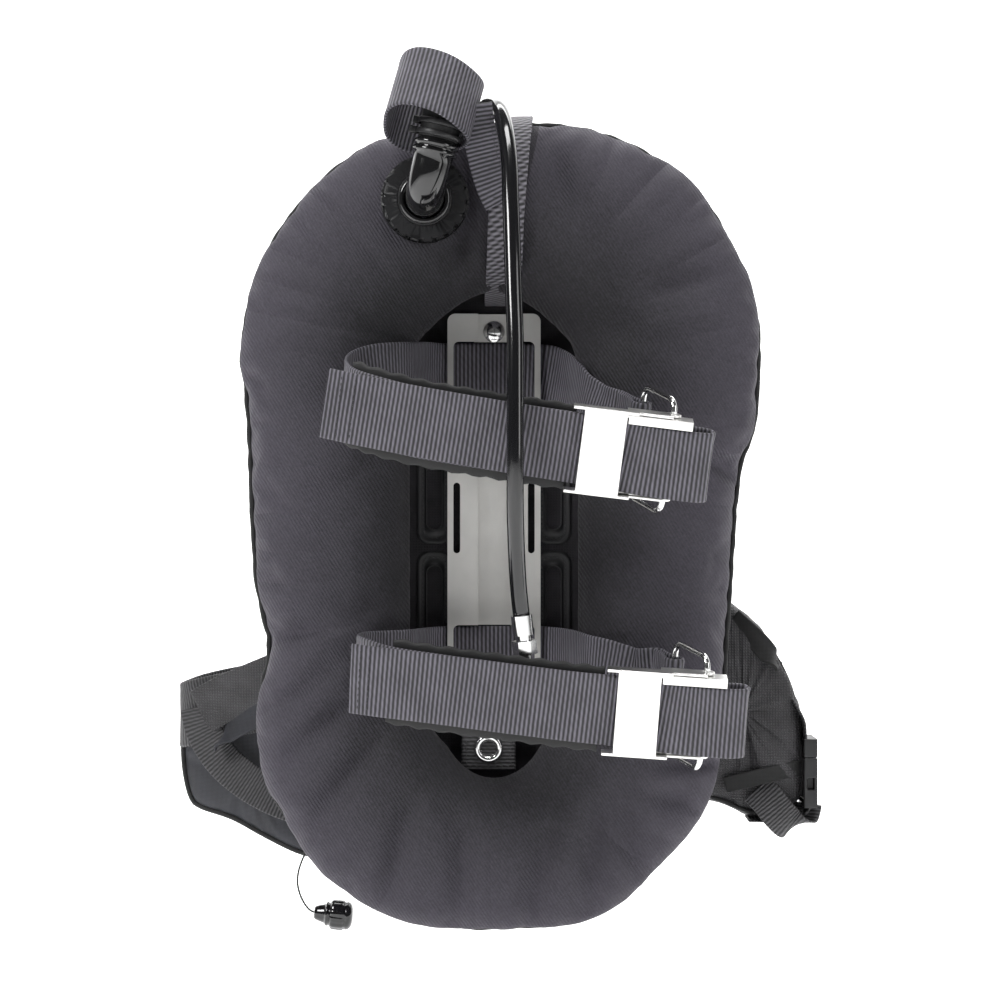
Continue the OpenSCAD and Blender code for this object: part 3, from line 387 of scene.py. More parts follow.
def tube_rings(route, radii, sides, closed=False):
    rings, side = [], square_to(Vector((1, 0.02, 0.01)), heading(route, 0))
    n = len(route)
    for i, p in enumerate(route):
        along = (route[(i + 1) % n] - route[i - 1]).normalized() if closed else heading(route, i)
        side = square_to(side, along)
        up = along.cross(side)
        r = radii[i] if isinstance(radii, list) else radii
        rings.append([p + r * (side * math.cos(k * 2 * math.pi / sides) + up * math.sin(k * 2 * math.pi / sides))
                      for k in range(sides)])
    return rings


def tube(name, route, radii, sides, finish, closed=False, **fit):
    run = lengths(route)
    weave = [[Vector((k / sides * 0.04, run[i], 0)) for k in range(sides)] for i in range(len(route))]
    return make_piece(name, loft(bmesh.new(), tube_rings(route, radii, sides, closed), closed, weave), finish, **fit)


# %% [markdown]
# Padded parts are blown up with Blender's own cloth: the cover gets a little gas pressure and no
# gravity, and the points of the seams are pinned. A cover that may also grow by a few per cent has
# slack to buckle with, which is what puckers a real seam. Each point's travel is capped, so that a
# pad never swells into its neighbour.

# %% Inflating a cover
def inflate(piece, pressure, cap, pinned=None, slack=0.0, stiffness=12.0, bending=0.4, frames=20):
    start = [v.co.copy() for v in piece.data.vertices]
    cloth = piece.modifiers.new("gas", "CLOTH")
    cloth.settings.quality = 5
    cloth.settings.mass = 0.2
    cloth.settings.tension_stiffness = cloth.settings.compression_stiffness = stiffness
    cloth.settings.shear_stiffness = stiffness / 3
    cloth.settings.bending_stiffness = bending
    cloth.settings.use_pressure = True
    cloth.settings.uniform_pressure_force = pressure
    cloth.settings.shrink_min = -slack
    cloth.settings.effector_weights.gravity = 0
    if pinned:
        cloth.settings.vertex_group_mass = pinned
    cloth.point_cache.frame_end = frames
    scene = bpy.context.scene
    for step in range(1, frames + 1):
        scene.frame_set(step)
    swollen = piece.evaluated_get(bpy.context.evaluated_depsgraph_get()).data.vertices
    most = 0.0
    for v, was, now in zip(piece.data.vertices, start, swollen):
        move = now.co - was
        most = max(most, move.length)
        v.co = was + move * min(1.0, cap / max(move.length, 1e-9))
    piece.modifiers.remove(cloth)
    scene.frame_set(1)
    print(f"{piece.name}: swelled by up to {most * 1000:.1f} mm, kept to {cap * 1000:.0f} mm")
    return piece


def pin(piece, chosen, name="seam"):
    group = piece.vertex_groups.new(name=name)
    group.add([v.index for v in piece.data.vertices if chosen(v.index, v.co)], 1.0, "REPLACE")
    return name


def round_off(piece, levels=1):
    soft = piece.modifiers.new("rounding", "SUBSURF")
    soft.levels = soft.render_levels = levels
    return piece


# %% [markdown]
# A seam shows as a row of short raised stitches. One low-faced ball, stretched to a stitch, is
# repeated along a line; all the stitches of one part are a single mesh.

# %% Stitches
def sew(bm, line, outward, pitch=0.0042, stitch=0.0027, thick=0.0005, lift=0.0003):
    run, total = lengths(line), lengths(line)[-1]
    count, i = max(2, int(total / pitch)), 0
    for k in range(count):
        at = (k + 0.5) * total / count
        while i < len(run) - 2 and run[i + 1] < at:
            i += 1
        along = (line[i + 1] - line[i]).normalized()
        p = line[i] + along * (at - run[i])
        out = outward(p) if callable(outward) else Vector(outward)
        out = square_to(out, along)
        turn = Matrix((along, out.cross(along), out)).transposed().to_4x4()
        place = Matrix.Translation(p + out * lift) @ turn @ Matrix.Diagonal((stitch / 2, thick, thick, 1))
        bmesh.ops.create_icosphere(bm, subdivisions=1, radius=1, matrix=place)
    return bm


def stitched(name, lines, outward, **thread):
    bm = bmesh.new()
    for line in lines:
        sew(bm, [Vector(p) for p in line], outward, **thread)
    return make_piece(name, bm, thread_black)

# %% [markdown]
# ## Low-pressure hose
# A rubber hose of 12 mm runs from the inflator's quick connector behind the shoulder, over the wing's
# top and down the tank's side to its crimped end: 785 mm in all. It is held at both ends, so its line
# is settled in the engineering model, and the same points are repeated here.

# %% Low-pressure hose
LP_ROUTE = millimetres([
    (-34, 180, -208), (-34, 180, -190), (-33, 178, -165), (-31, 171, -135), (-29, 158, -104), (-27, 139, -75),
    (-24, 115, -48), (-21, 88, -27), (-18, 60, -12), (-15, 32, -2), (-12, 4, 6), (-9, -26, 9),
    (-4, -56, 7), (1, -84, 0), (5, -106, -17), (8, -121, -42), (9, -133, -71), (10, -143, -102),
    (11, -151, -135), (12, -158, -168), (12, -163, -202), (12, -165, -236), (12, -164, -262),
    (12, -159, -286), (12.6, -150, -307), (13.4, -140, -326), (14.6, -132, -344), (16.5, -127, -362)])
lp_line = smooth(LP_ROUTE, 4)
lp_hose = tube("lp_hose_rubber", lp_line, 0.006, 20, hose_rubber, slot="hose_rubber", replaces=["lp_hose"])
print("low-pressure hose:", round(1000 * lengths(lp_line)[-1]), "mm")

# %% [markdown]
# ## Corrugated hose
# The inflator's hose is a ribbed rubber tube of 30 mm. Its radius rises and falls every 5 mm along
# the route, which gives real ridges rather than painted ones. Its plain collars slip over the elbow at
# one end and over the inflator at the other.

# %% Corrugated hose
HOSE_ROUTE = millimetres([
    (-43, -95, -23), (-40.5, -95, -12), (-39, -91.5, 0), (-38, -84, 11), (-37, -72, 20), (-36, -56, 26),
    (-35, -36, 29), (-34, -12, 29), (-34, 14, 27), (-37, 42, 20), (-43, 70, 6), (-50, 97, -14),
    (-57, 121, -42), (-62, 142, -74), (-67, 159, -108), (-70, 171, -143), (-71, 178, -176), (-71, 180, -206)])
hose_line = smooth(HOSE_ROUTE, 22)
run = lengths(hose_line)
hose_radii = [0.0145 - 0.0016 * (0.5 - 0.5 * math.cos(2 * math.pi * s / 0.0052))
              * min(1, max(0, (s - 0.022) / 0.004)) * min(1, max(0, (run[-1] - 0.02 - s) / 0.004)) for s in run]
corrugated = tube("corrugated_rubber", hose_line, hose_radii, 20, band_rubber, slot="band_rubber", replaces=["corrugated_hose"])
print("corrugated hose:", round(1000 * run[-1]), "mm,", len(hose_line), "rings")

# %% [markdown]
# ## Pull cord
# A thin braided cord runs from the dump valve's arm round the lower edge of the wing to its knob.
# A single tube whose radius swells and narrows every 2.4 mm reads as a braid at this size.

# %% Pull cord
CORD_ROUTE = millimetres([
    (-131, 40, -526), (-135, 39, -531), (-139.5, 36.5, -537.5), (-144, 33, -545), (-148, 30, -553),
    (-150.8, 28, -561.5), (-151.6, 27, -570), (-150, 26.5, -578), (-146.8, 26, -585), (-143, 26, -590),
    (-139, 26, -592.5)])
cord_line = smooth(CORD_ROUTE, 8)
cord_radii = [0.0008 * (0.9 + 0.12 * math.cos(2 * math.pi * s / 0.0024)) for s in lengths(cord_line)]
pull_cord = tube("pull_cord_braid", cord_line, cord_radii, 10, cord_black, slot="cord", replaces=["dump_cord"])

# %% [markdown]
# ## The wing
# The air cell is a closed ring of twill with an outer seam and an inner one. Its pattern is two
# outlines: the outer edge of the vest and the hole round the tank adapter. The outer outline is pulled
# round the section of the ring, over the tank's side to the hole and back on the diver's side. Then
# gas swells it between its pinned seams, with a little slack that buckles into puckers.

# %% The wing's two outlines
WING_EDGE = [(31, -5), (67, -9), (108, -25), (137, -43), (157, -68), (181, -112), (190, -145), (192, -170), (189, -223),
             (180, -250), (175, -278), (173, -311), (168, -385), (162, -470), (147, -514), (114, -553), (88, -577), (52, -592),
             (-15, -596), (-76, -587), (-127, -555), (-160, -508), (-172, -480), (-176, -439), (-168, -388),
             (-172, -370), (-179, -325), (-184, -215), (-188, -170), (-176, -112), (-144, -61), (-107, -28), (-77, -14), (-28, -6)]
STATIONS = 330


def level(points, y):
    return [Vector((x, y, z)) / 1000 for x, z in points]


def spaced(points, count):
    """Points at equal steps round a closed line."""
    ring = points + [points[0]]
    run, made, i = lengths(ring), [], 0
    for k in range(count):
        at = run[-1] * k / count
        while run[i + 1] < at:
            i += 1
        made.append(ring[i].lerp(ring[i + 1], (at - run[i]) / max(run[i + 1] - run[i], 1e-9)))
    return made


low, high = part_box("wing_bladder")
middle_y, half_depth = (low.y + high.y) / 2, (high.y - low.y) / 2
edge = spaced(smooth_closed([(x / 1000, middle_y, z / 1000) for x, z in WING_EDGE], 10), STATIONS)
hole_half, hole_top, hole_foot = 0.061, -0.128, -0.486
hole = []
for p in edge:
    mid_z = max(hole_foot + hole_half, min(hole_top - hole_half, p.z))
    out = Vector((p.x * 1.15, 0, (p.z - mid_z))).normalized() if abs(p.x) + abs(p.z - mid_z) > 0 else Vector((1, 0, 0))
    narrow = 1 - 0.3 * min(1.0, max(0.0, -out.z) * 1.6) - 0.5 * max(0.0, out.z - 0.4)
    hole.append(Vector((-0.003 + hole_half * out.x * narrow, middle_y, mid_z + hole_half * out.z)))
print("wing edge:", round(1000 * lengths(edge + [edge[0]])[-1]), "mm round;", STATIONS, "stations")

# %% [markdown]
# Soft folds that the gas alone doesn't make are laid in as shallow valleys: each runs between two
# points, and the cloth is pushed in along it with a smooth fall-off.

# %% The wing's cover
FOLDS = [((-146, -462), (-96, -420), 9, 5), ((-158, -430), (-120, -404), 7, 4), ((-128, -505), (-84, -452), 9, 5),
         ((-78, -560), (-66, -505), 9, 5), ((-30, -585), (-24, -520), 10, 4), ((22, -590), (34, -520), 10, 5),
         ((62, -575), (70, -505), 10, 5), ((98, -548), (84, -492), 9, 4), ((120, -470), (165, -474), 8, 5),
         ((112, -495), (150, -500), 8, 4), ((-22, -70), (-32, -112), 8, 5), ((45, -20), (40, -80), 10, 3),
         ((150, -250), (176, -262), 8, 5), ((-165, -378), (-128, -372), 8, 5), ((150, -120), (110, -128), 10, 3)]


def fold_depth(p):
    push = 0.0
    for (x0, z0), (x1, z1), width, depth in FOLDS:
        a, b = Vector((x0, z0)) / 1000, Vector((x1, z1)) / 1000
        q = Vector((p.x, p.z))
        t = (q - a).dot(b - a) / (b - a).length_squared
        s = max(0.0, min(1.0, t))
        off = (q - a.lerp(b, s)).length / (width / 1000)
        push += 2.2 * depth / 1000 * math.exp(-off * off) * (0.35 + 0.65 * math.sin(math.pi * min(1, max(0, 0.1 + 0.8 * s))))
    return push


def pucker(along, share, p):
    """Short gathers that start at the seam, longer and deeper toward the wing's foot."""
    reach = 0.3 + 0.25 * noise.noise(Vector((along * 11, 7, 0))) + 0.25 * max(0.0, min(1.0, (-0.42 - p.z) / 0.12))
    fade = max(0.0, 1 - (1 - share) / max(0.12, reach))
    wave = noise.noise(Vector((along * 46, (1 - share) * 1.6, 2))) + 0.5 * noise.noise(Vector((along * 95, (1 - share) * 3, 8)))
    return 0.012 * wave * fade * (0.55 + 0.9 * max(0.0, min(1.0, (-0.38 - p.z) / 0.15)))


SECTION = 44
bm = bmesh.new()
wing_rings, edge_run = [], lengths(edge)
for k in range(SECTION):
    turn = 2 * math.pi * k / SECTION
    share = math.cos(turn)
    bulge = -math.copysign(abs(math.sin(turn)) ** 0.8, math.sin(turn)) * half_depth * 0.9
    ring = []
    for along, outer, inner in zip(edge_run, edge, hole):
        p = (outer + inner) / 2 + (outer - inner) / 2 * share
        puff = 0.002 * noise.noise(p * 24) + 0.0014 * noise.noise(p * 60) + pucker(along, share, p)
        p.y = middle_y + bulge - math.copysign(puff * abs(math.sin(turn)) ** 0.5, math.sin(turn))
        if bulge < 0:
            p.y += fold_depth(p) * min(1, abs(math.sin(turn)) * 2)
        ring.append(p)
    wing_rings.append(ring)
gathers = [[Vector((along, (1 - math.cos(2 * math.pi * k / SECTION)) * 0.06, 0)) for along in edge_run] for k in range(SECTION)]
loft(bm, wing_rings, closed=True, weave=gathers)
# `rim` is 0.75 at the outer seam and fades to nothing about 10 cm inside it. The twill paints shade with it, darkening
# the cloth toward the plate, and keeps its creases near the seam.
rim = bm.verts.layers.float.new("rim")
for v in bm.verts:
    near = min((Vector((v.co.x, v.co.z)) - Vector((p.x, p.z))).length for p in edge[::4])
    v[rim] = max(0.0, min(1.0, 1 - (near - 0.004) / 0.1)) * 0.75
wing = make_piece("wing_cover", bm, wing_twill, slot="wing_fabric", replaces=["wing_bladder"])
seam = pin(wing, lambda i, co: abs(co.y - middle_y) < 1e-5)
inflate(wing, 1.5, 0.004, seam, slack=0.05, stiffness=14, bending=0.2, frames=16)
round_off(wing)

# %% [markdown]
# The outer seam is closed by a binding: a folded tape sewn over both layers. It pulls in a little at
# every few stitches, so its line wavers and its thickness changes.

# %% The binding round the seam
bound = spaced(smooth_closed([(x / 1000, middle_y, z / 1000) for x, z in WING_EDGE], 12), 560)
run = lengths(bound)
waver = [p + Vector((p.x, 0, p.z + 0.3)).normalized() * (0.0016 * noise.noise(Vector((s * 62, 3, 0))) + 0.0009)
         + Vector((0, 0.0022 * noise.noise(Vector((s * 48, 9, 1))), 0)) for p, s in zip(bound, run)]
bind_radii = [0.0021 + 0.0006 * noise.noise(Vector((s * 120, 0, 5))) for s in run]
tube("wing_binding_tape", waver, bind_radii, 10, binding_tape, closed=True, slot="binding", replaces=["wing_binding"])
print("binding:", round(1000 * run[-1]), "mm")

# %% [markdown]
# ## Cam bands
# Each band is one length of 50 mm webbing. It starts in a sewn fold round the wire link, goes through
# the two windows of the tank adapter, comes round the tank's space to the front, laps through the
# buckle and ends in a loose tail. The buckle leans and pitches, so the lap and the fold are given in
# the buckle's own frame and turned into place.

# %% The bands' routes
UPPER_BUCKLE = ((119, -140, -251), 7, 12)
LOWER_BUCKLE = ((144, -140, -431), 4, 10)
LINK_TURN = math.radians(114)
WEBBING, THICK = 0.05, 0.0025


def buckle_turn(buckle):
    return Matrix.Rotation(math.radians(buckle[1]), 3, "Y") @ Matrix.Rotation(math.radians(buckle[2]), 3, "X")


def in_buckle(buckle, p):
    return Vector(buckle[0]) + buckle_turn(buckle) @ Vector(p)


SEWN_FOLD = [(66, -2.4), (58, -4.6), (51, -6), (45.2, -3.8), (43.8, 0), (45.2, 3.8), (51, 6), (58, 4.6), (66, 2.4)]


def sewn_end(buckle, reach):
    c, s = math.cos(LINK_TURN), math.sin(LINK_TURN)
    fold = [(reach, -1.9)] + SEWN_FOLD + [(reach, 1.9)]
    return [in_buckle(buckle, (a * c + b * s, a * s - b * c, 4)) for a, b in fold]


def lap(buckle):
    inner, outer, sag = -6, -9.5, 3.2
    turn = [(6, -6, 0), (16, -1, 0.3), (24, 4, 0.7), (29, 1, 1), (28, -5, 1), (20, -9, 1), (8, -9.6, 1)]
    path = [(x, inner, 0) for x in (-62, -35, -8)] + turn + [(x, outer, low) for x, low in ((-8, 1), (-22, 0.8), (-40, 0.3), (-62, 0))]
    return [in_buckle(buckle, (a, b, -sag * low)) for a, b, low in path]


UPPER_BEHIND = [
    (75, -51, -222), (65, -38.5, -214), (59, -24, -205), (52, -4, -197), (42, 13, -191), (29, 20, -188.5),
    (0, 20, -188), (-31, 20, -188), (-42, 15, -188), (-52, 0, -188), (-59, -21, -189), (-65, -38, -190),
    (-75, -52, -191), (-89, -65, -193), (-103, -80, -198), (-110, -100, -205), (-105, -121, -212),
    (-86, -138, -219), (-50, -143.5, -228), (5, -145.5, -237)]
UPPER_TAIL = [(5, -149.5, -237), (-50, -148.3, -227.5), (-96, -144, -218.5), (-121, -138, -213)]
LOWER_BEHIND = [
    (100, -65.5, -413), (88, -60.5, -410), (77, -52.5, -407), (67, -41, -405), (59.5, -25, -403), (52, -4, -402),
    (42, 13, -401.5), (29, 20, -401), (0, 20, -401), (-31, 20, -401), (-42, 15, -401), (-52, 0, -401),
    (-59, -21, -401), (-65, -38, -401), (-75, -51, -401), (-86, -60.5, -401), (-97, -76, -401),
    (-101, -97, -402), (-95, -119, -403), (-76, -137, -408), (-42, -143.5, -413), (8, -145, -419.5),
    (48, -146, -424.5)]
LOWER_TAIL = [(48, -149.8, -424.5), (8, -149, -419.5), (-42, -148, -413), (-86, -143, -408), (-103, -137, -406)]


def band_directions(route, buckle):
    lean = buckle_turn(buckle) @ Vector((0, 0, 1))
    made = []
    for p in route:
        share = max(0.0, min(1.0, max((-0.06 - p.y) / 0.05, (p.x - 0.078) / 0.018)))
        made.append((lean * share + Vector((0, 0, 1)) * (1 - share)).normalized())
    return made


def band(name, buckle, reach, behind, tail, node):
    route = smooth(millimetres(sewn_end(buckle, reach) + behind + lap(buckle) + tail), 6)
    return strap(name, route, band_directions(route, buckle), WEBBING, THICK, band_webbing,
                 ripple=0.0005, slot="band_webbing", replaces=[node]), route


upper_band, upper_line = band("upper_band_webbing", UPPER_BUCKLE, 86, UPPER_BEHIND, UPPER_TAIL, "upper_band")
lower_band, lower_line = band("lower_band_webbing", LOWER_BUCKLE, 78, LOWER_BEHIND, LOWER_TAIL, "lower_band")

# %% [markdown]
# The cut ends fray a little, so a comb of short threads stands out of each. The fold round the link
# is closed by zigzag rows, and the tails carry a line of stitches near the end.

# %% Frayed ends and the fold's stitches
def fray(bm, end, back, across, width):
    along = (end - back).normalized()
    across = square_to(across, along)
    out = along.cross(across)
    for k in range(70):
        a = (k / 69 - 0.5) * width * 0.97
        size = 0.0012 + 0.0016 * abs(noise.noise(Vector((a * 900, width * 40, 2))))
        tip = along + across * noise.noise(Vector((a * 700, 1, 4))) * 0.8 + out * noise.noise(Vector((a * 600, 5, 1))) * 0.9
        tip.normalize()
        side = square_to(across, tip)
        turn = Matrix((tip, side, tip.cross(side))).transposed().to_4x4()
        place = Matrix.Translation(end + across * a + tip * size * 0.5) @ turn @ Matrix.Diagonal((size, 0.00022, 0.00022, 1))
        bmesh.ops.create_cone(bm, cap_ends=True, segments=4, radius1=1, radius2=0.4, depth=1,
                              matrix=place @ Matrix.Rotation(math.radians(90), 4, "Y"))


bm = bmesh.new()
for line, buckle in ((upper_line, UPPER_BUCKLE), (lower_line, LOWER_BUCKLE)):
    fray(bm, line[-1], line[-3], buckle_turn(buckle) @ Vector((0, 0, 1)), WEBBING)
make_piece("frayed_threads", bm, band_webbing, slot="band_webbing")


def sewn_rows(bm, buckle, reach):
    c, s = math.cos(LINK_TURN), math.sin(LINK_TURN)
    for a in (61, 66, 71):
        for b, side in ((-(4.6 - (a - 58) * 0.22) - 0.35, -1),):
            rows = [in_buckle(buckle, ((a + (0.9 if i % 2 else -0.9)) * c + b * s, (a + (0.9 if i % 2 else -0.9)) * s - b * c,
                                       4 - 22 + i * 2.2)) / 1000 for i in range(21)]
            out = buckle_turn(buckle) @ Vector((-s * side, c * side, 0))
            for p, q in zip(rows, rows[1:]):
                sew(bm, [p, q], out, pitch=0.0022, stitch=0.0025, thick=0.0003)


bm = bmesh.new()
sewn_rows(bm, UPPER_BUCKLE, 86)
sewn_rows(bm, LOWER_BUCKLE, 78)
for line, buckle in ((upper_line, UPPER_BUCKLE), (lower_line, LOWER_BUCKLE)):
    lean = buckle_turn(buckle) @ Vector((0, 0, 1))
    for back in (4, 6):
        p, along = line[-back], (line[-back] - line[-back - 1]).normalized()
        out = Vector((0, -1, 0))
        sew(bm, [p - lean * 0.022 + out * 0.0013, p + lean * 0.022 + out * 0.0013], out, thick=0.0004)
make_piece("band_stitches", bm, thread_black, slot="band_webbing")

# %% [markdown]
# A rubber pad lies inside each band's front stretch and keeps it from slipping on the tank. It is a
# flat moulding a little wider than the webbing, with a wavy rim.

# %% Rubber pads
def band_pad(name, part, buckle, node):
    route = [p + Vector((0, 0.0046, 0)) for p in smooth(millimetres(part), 12)]
    rings, weave = [], []
    lean = band_directions(route, buckle)
    run = lengths(route)
    for i, p in enumerate(route):
        along = heading(route, i)
        across = square_to(lean[i], along)
        out = along.cross(across)
        half = 0.0315 - 0.0016 * (0.5 + 0.5 * math.cos(run[i] * 2 * math.pi / 0.016))
        rings.append([p + across * a * half + out * n * 0.0015 for a, n in STRAP_SECTION])
        weave.append([Vector((a * half, run[i], 0)) for a, n in STRAP_SECTION])
    return make_piece(name, loft(bmesh.new(), rings, weave=weave), band_rubber, slot="band_rubber", replaces=[node])


band_pad("upper_pad_rubber", UPPER_BEHIND[16:20] + [in_buckle(UPPER_BUCKLE, (-68, -6, 0))], UPPER_BUCKLE, "upper_band_pad")
band_pad("lower_pad_rubber", LOWER_BEHIND[19:23] + [in_buckle(LOWER_BUCKLE, (-72, -6, 0))], LOWER_BUCKLE, "lower_band_pad")

# %% [markdown]
# ## Carry strap, cuff and lower tab
# The carry strap runs from the adapter's top over the wing to the backplate. The cuff is a wide loop
# of webbing that gathers both hoses by the shoulder, with its end sewn down to the strap. Its mouth is
# not a true circle: webbing that is bent into a loop relaxes into a slightly squarer one.

# %% Carry strap
CARRY_ROUTE = [
    (3, 22, -134), (3, -4, -130), (4, -36, -121), (5, -56, -102), (6, -67, -76), (8, -66, -50),
    (10, -57, -26), (12, -41, -7), (13, -16, 2.4), (13, 8, 2.4), (11, 28, -8), (8, 41, -30), (6, 43, -62),
    (4, 38, -96), (3, 32.3, -124), (3, 32.3, -136)]
carry_line = smooth(millimetres(CARRY_ROUTE), 8)
strap("carry_strap_webbing", carry_line, Vector((1, 0, 0)), 0.026, 0.0025, handle_webbing, slot="harness_webbing",
      replaces=["carry_strap"])

# %% Hose cuff
cuff_middle = Vector((-47, -91, 3)) / 1000
cuff_turn = (Matrix.Rotation(math.radians(14), 3, "Y") @ Matrix.Rotation(math.radians(-26), 3, "X"))
CUFF_STEPS = 96
cuff_line = []
for k in range(CUFF_STEPS):
    t = 2 * math.pi * k / CUFF_STEPS
    r = 0.0305 * (1 + 0.03 * math.cos(3 * t + 0.6) + 0.015 * math.cos(5 * t))
    cuff_line.append(cuff_middle + cuff_turn @ Vector((r * math.cos(t), r * math.sin(t), 0.002 * math.sin(2 * t))))
cuff_up = cuff_turn @ Vector((0, 0, 1))
bm = bmesh.new()
rings, weave = [], []
for k, p in enumerate(cuff_line):
    out = (p - cuff_middle)
    out = square_to(out, cuff_up)
    rings.append([p + cuff_up * a * 0.025 + out * n * 0.00125 for a, n in STRAP_SECTION])
    weave.append([Vector((a * 0.025, k * 0.002, 0)) for a, n in STRAP_SECTION])
loft(bm, rings, closed=True, weave=weave)
make_piece("cuff_webbing", bm, band_webbing, slot="band_webbing", replaces=["hose_cuff"])

# %% Cuff's tail and its stitches
tail_route = millimetres([(-16, -98, 2), (-14, -94, -14), (-10, -84, -34), (-4, -76, -54), (2, -71, -66)])
tail_line = smooth(tail_route, 8)
strap("cuff_tail_webbing", tail_line, Vector((1, 0.15, 0.1)), 0.024, 0.0016, band_webbing, slot="band_webbing")
bm = bmesh.new()
for side in (-0.0095, 0.0095):
    sew(bm, [p + Vector((side, -0.0014, 0)) for p in tail_line[4:-2]], Vector((0, -1, 0.2)), thick=0.0004)
sew(bm, [tail_line[-4] + Vector((x, -0.0016, 0)) for x in (-0.0095, 0.0095)], Vector((0, -1, 0.2)), thick=0.0004)
make_piece("cuff_stitches", bm, thread_black, slot="band_webbing")

# %% Lower tab
low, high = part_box("lower_tab")
tab_line = [Vector((-0.007, y, z)) for y, z in
            ((0.0235, -0.4515), (0.012, -0.4525), (0.0005, -0.4535), (-0.0045, -0.4575), (-0.006, -0.4615), (-0.006, -0.466),
             (-0.006, -0.4705), (-0.006, -0.476), (-0.006, -0.4815))]
tab = strap("lower_tab_webbing", smooth(tab_line, 5), Vector((1, 0, 0)), 0.04, 0.0042, harness_webbing, ripple=0.0002,
            slot="harness_webbing", replaces=["lower_tab"])
bm = bmesh.new()
for x in (-0.0165, 0.0165):
    sew(bm, [Vector((-0.007 + x, -0.0083, -0.459)), Vector((-0.007 + x, -0.0083, -0.479))], Vector((0, -1, 0)))
sew(bm, [Vector((-0.0235, -0.0083, -0.479)), Vector((0.0095, -0.0083, -0.479))], Vector((0, -1, 0)))
make_piece("tab_stitches", bm, thread_black, slot="harness_webbing")

# %% [markdown]
# ## Centre panel and its patches
# Behind the adapter lies a black fabric panel with four rubbery patches. Each patch is a rounded
# plate with a tall slot, a raised rim round both, and a row of stitches. The plates are made from one
# outline: filled, inset for the rim, and given their thickness.

# %% Panel
def outline_loop(width, height, radius, corner=8):
    made = []
    for k in range(4):
        cx, cz = (width / 2 - radius) * (1 if k in (0, 3) else -1), (height / 2 - radius) * (1 if k in (0, 1) else -1)
        for i in range(corner + 1):
            t = math.pi / 2 * (k + i / corner)
            made.append((cx + radius * math.cos(t), cz + radius * math.sin(t)))
    return made


def placed(outline, centre, y):
    return [Vector((centre[0] + x, y, centre[1] + z)) for x, z in outline]


panel_low, panel_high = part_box("centre_panel")
panel_centre = ((panel_low.x + panel_high.x) / 2, (panel_low.z + panel_high.z) / 2)
panel_w, panel_h = panel_high.x - panel_low.x, panel_high.z - panel_low.z
bm = bmesh.new()
rings = []
for inset, y in ((0.004, panel_high.y), (0, panel_high.y - 0.001), (0, panel_low.y + 0.0008), (0.002, panel_low.y),
                 (0.012, panel_low.y + 0.0003), (0.03, panel_low.y)):
    rings.append(placed(outline_loop(panel_w - 2 * inset, panel_h - 2 * inset, max(0.006, 0.05 - inset), 12), panel_centre, y))
loft(bm, rings)
make_piece("panel_fabric_sheet", bm, panel_cloth, slot="panel_fabric", replaces=["centre_panel"])

# %% Patches
PATCH_W, PATCH_H, SLOT_W = 0.026, 0.084, 0.011
bm, seams = bmesh.new(), []
for side in (-1, 1):
    for z in (-0.272, -0.362):
        centre, face = (-0.003 + side * 0.045, z), panel_low.y
        outer = [(0, 0.0), (0, -0.0008), (0.0006, -0.0012), (0.0022, -0.0012), (0.003, -0.0007), (0.0052, -0.0007)]
        rings = [placed(outline_loop(PATCH_W - 2 * i, PATCH_H - 2 * i, 0.009 - i * 0.6), centre, face + y) for i, y in outer]
        slot = outline_loop(SLOT_W, PATCH_H - 0.022, SLOT_W / 2 - 0.0001)
        wide = outline_loop(SLOT_W + 0.0024, PATCH_H - 0.0196, SLOT_W / 2 + 0.0011)
        rings += [placed(wide, centre, face - 0.0007), placed(wide, centre, face - 0.0012),
                  placed(slot, centre, face - 0.0012), placed(slot, centre, face)]
        loft(bm, rings, closed=True)
        seam_loop = placed(outline_loop(PATCH_W - 0.0085, PATCH_H - 0.0085, 0.0055), centre, face - 0.0009)
        seams.append(seam_loop + seam_loop[:1])
make_piece("patch_mouldings", bm, patch_rubber, slot="patch_rubber", replaces=["slot_patches"])
stitched("patch_stitches", seams, Vector((0, -1, 0)), pitch=0.0034, stitch=0.0022, thick=0.00035)

# %% [markdown]
# ## Harness
# Flat webbing again: two shoulder straps, a chest strap and a two-part waist belt on the diver's
# side. The shoulder pads are padded sleeves that swell between their edges, and the back pad and the
# hip pad are quilted sheets.

# %% Shoulder straps and belt
SHOULDER_ROUTE = [
    (50, 38, -180), (51, 40, -150), (52, 50, -118), (54, 72, -98), (57, 98, -98), (60, 124, -118),
    (64, 142, -152), (70, 151, -200), (78, 153, -250), (90, 148, -300), (104, 134, -345), (104, 108, -378),
    (95, 78, -393), (92, 54, -399), (92, 44, -399), (92, 35, -399)]
BELT_LEFT = [
    (-70, 36, -430), (-110, 38, -429), (-150, 40.5, -430), (-186, 54.5, -434), (-214, 66, -440), (-238, 76, -446),
    (-246, 90, -448), (-243, 106, -447), (-226, 128, -442), (-190, 151, -436), (-140, 170, -432), (-90, 181, -432),
    (-45, 186, -432)]
BELT_RIGHT = [
    (70, 36, -430), (96, 44, -430), (120, 64, -431), (140, 88, -432), (164, 93, -432), (190, 95, -433),
    (214, 104, -433), (222, 122, -433), (200, 144, -433), (150, 163, -432), (100, 174, -432), (58, 178.5, -432),
    (5, 179, -432)]


def across_x(points, side):
    return [(side * x, y, z) for x, y, z in points]


for side, word in ((-1, "left"), (1, "right")):
    strap(f"shoulder_webbing_{word}", smooth(millimetres(across_x(SHOULDER_ROUTE, side)), 6), Vector((1, 0, 0)), 0.05, 0.0025,
          harness_webbing, slot="harness_webbing", replaces=[f"shoulder_strap_{word}"])
for word, route in (("left", BELT_LEFT), ("right", BELT_RIGHT)):
    strap(f"belt_webbing_{word}", smooth(millimetres(route), 6), Vector((0, 0, 1)), 0.05, 0.0025, harness_webbing,
          slot="harness_webbing", replaces=[f"waist_belt_{word}"])

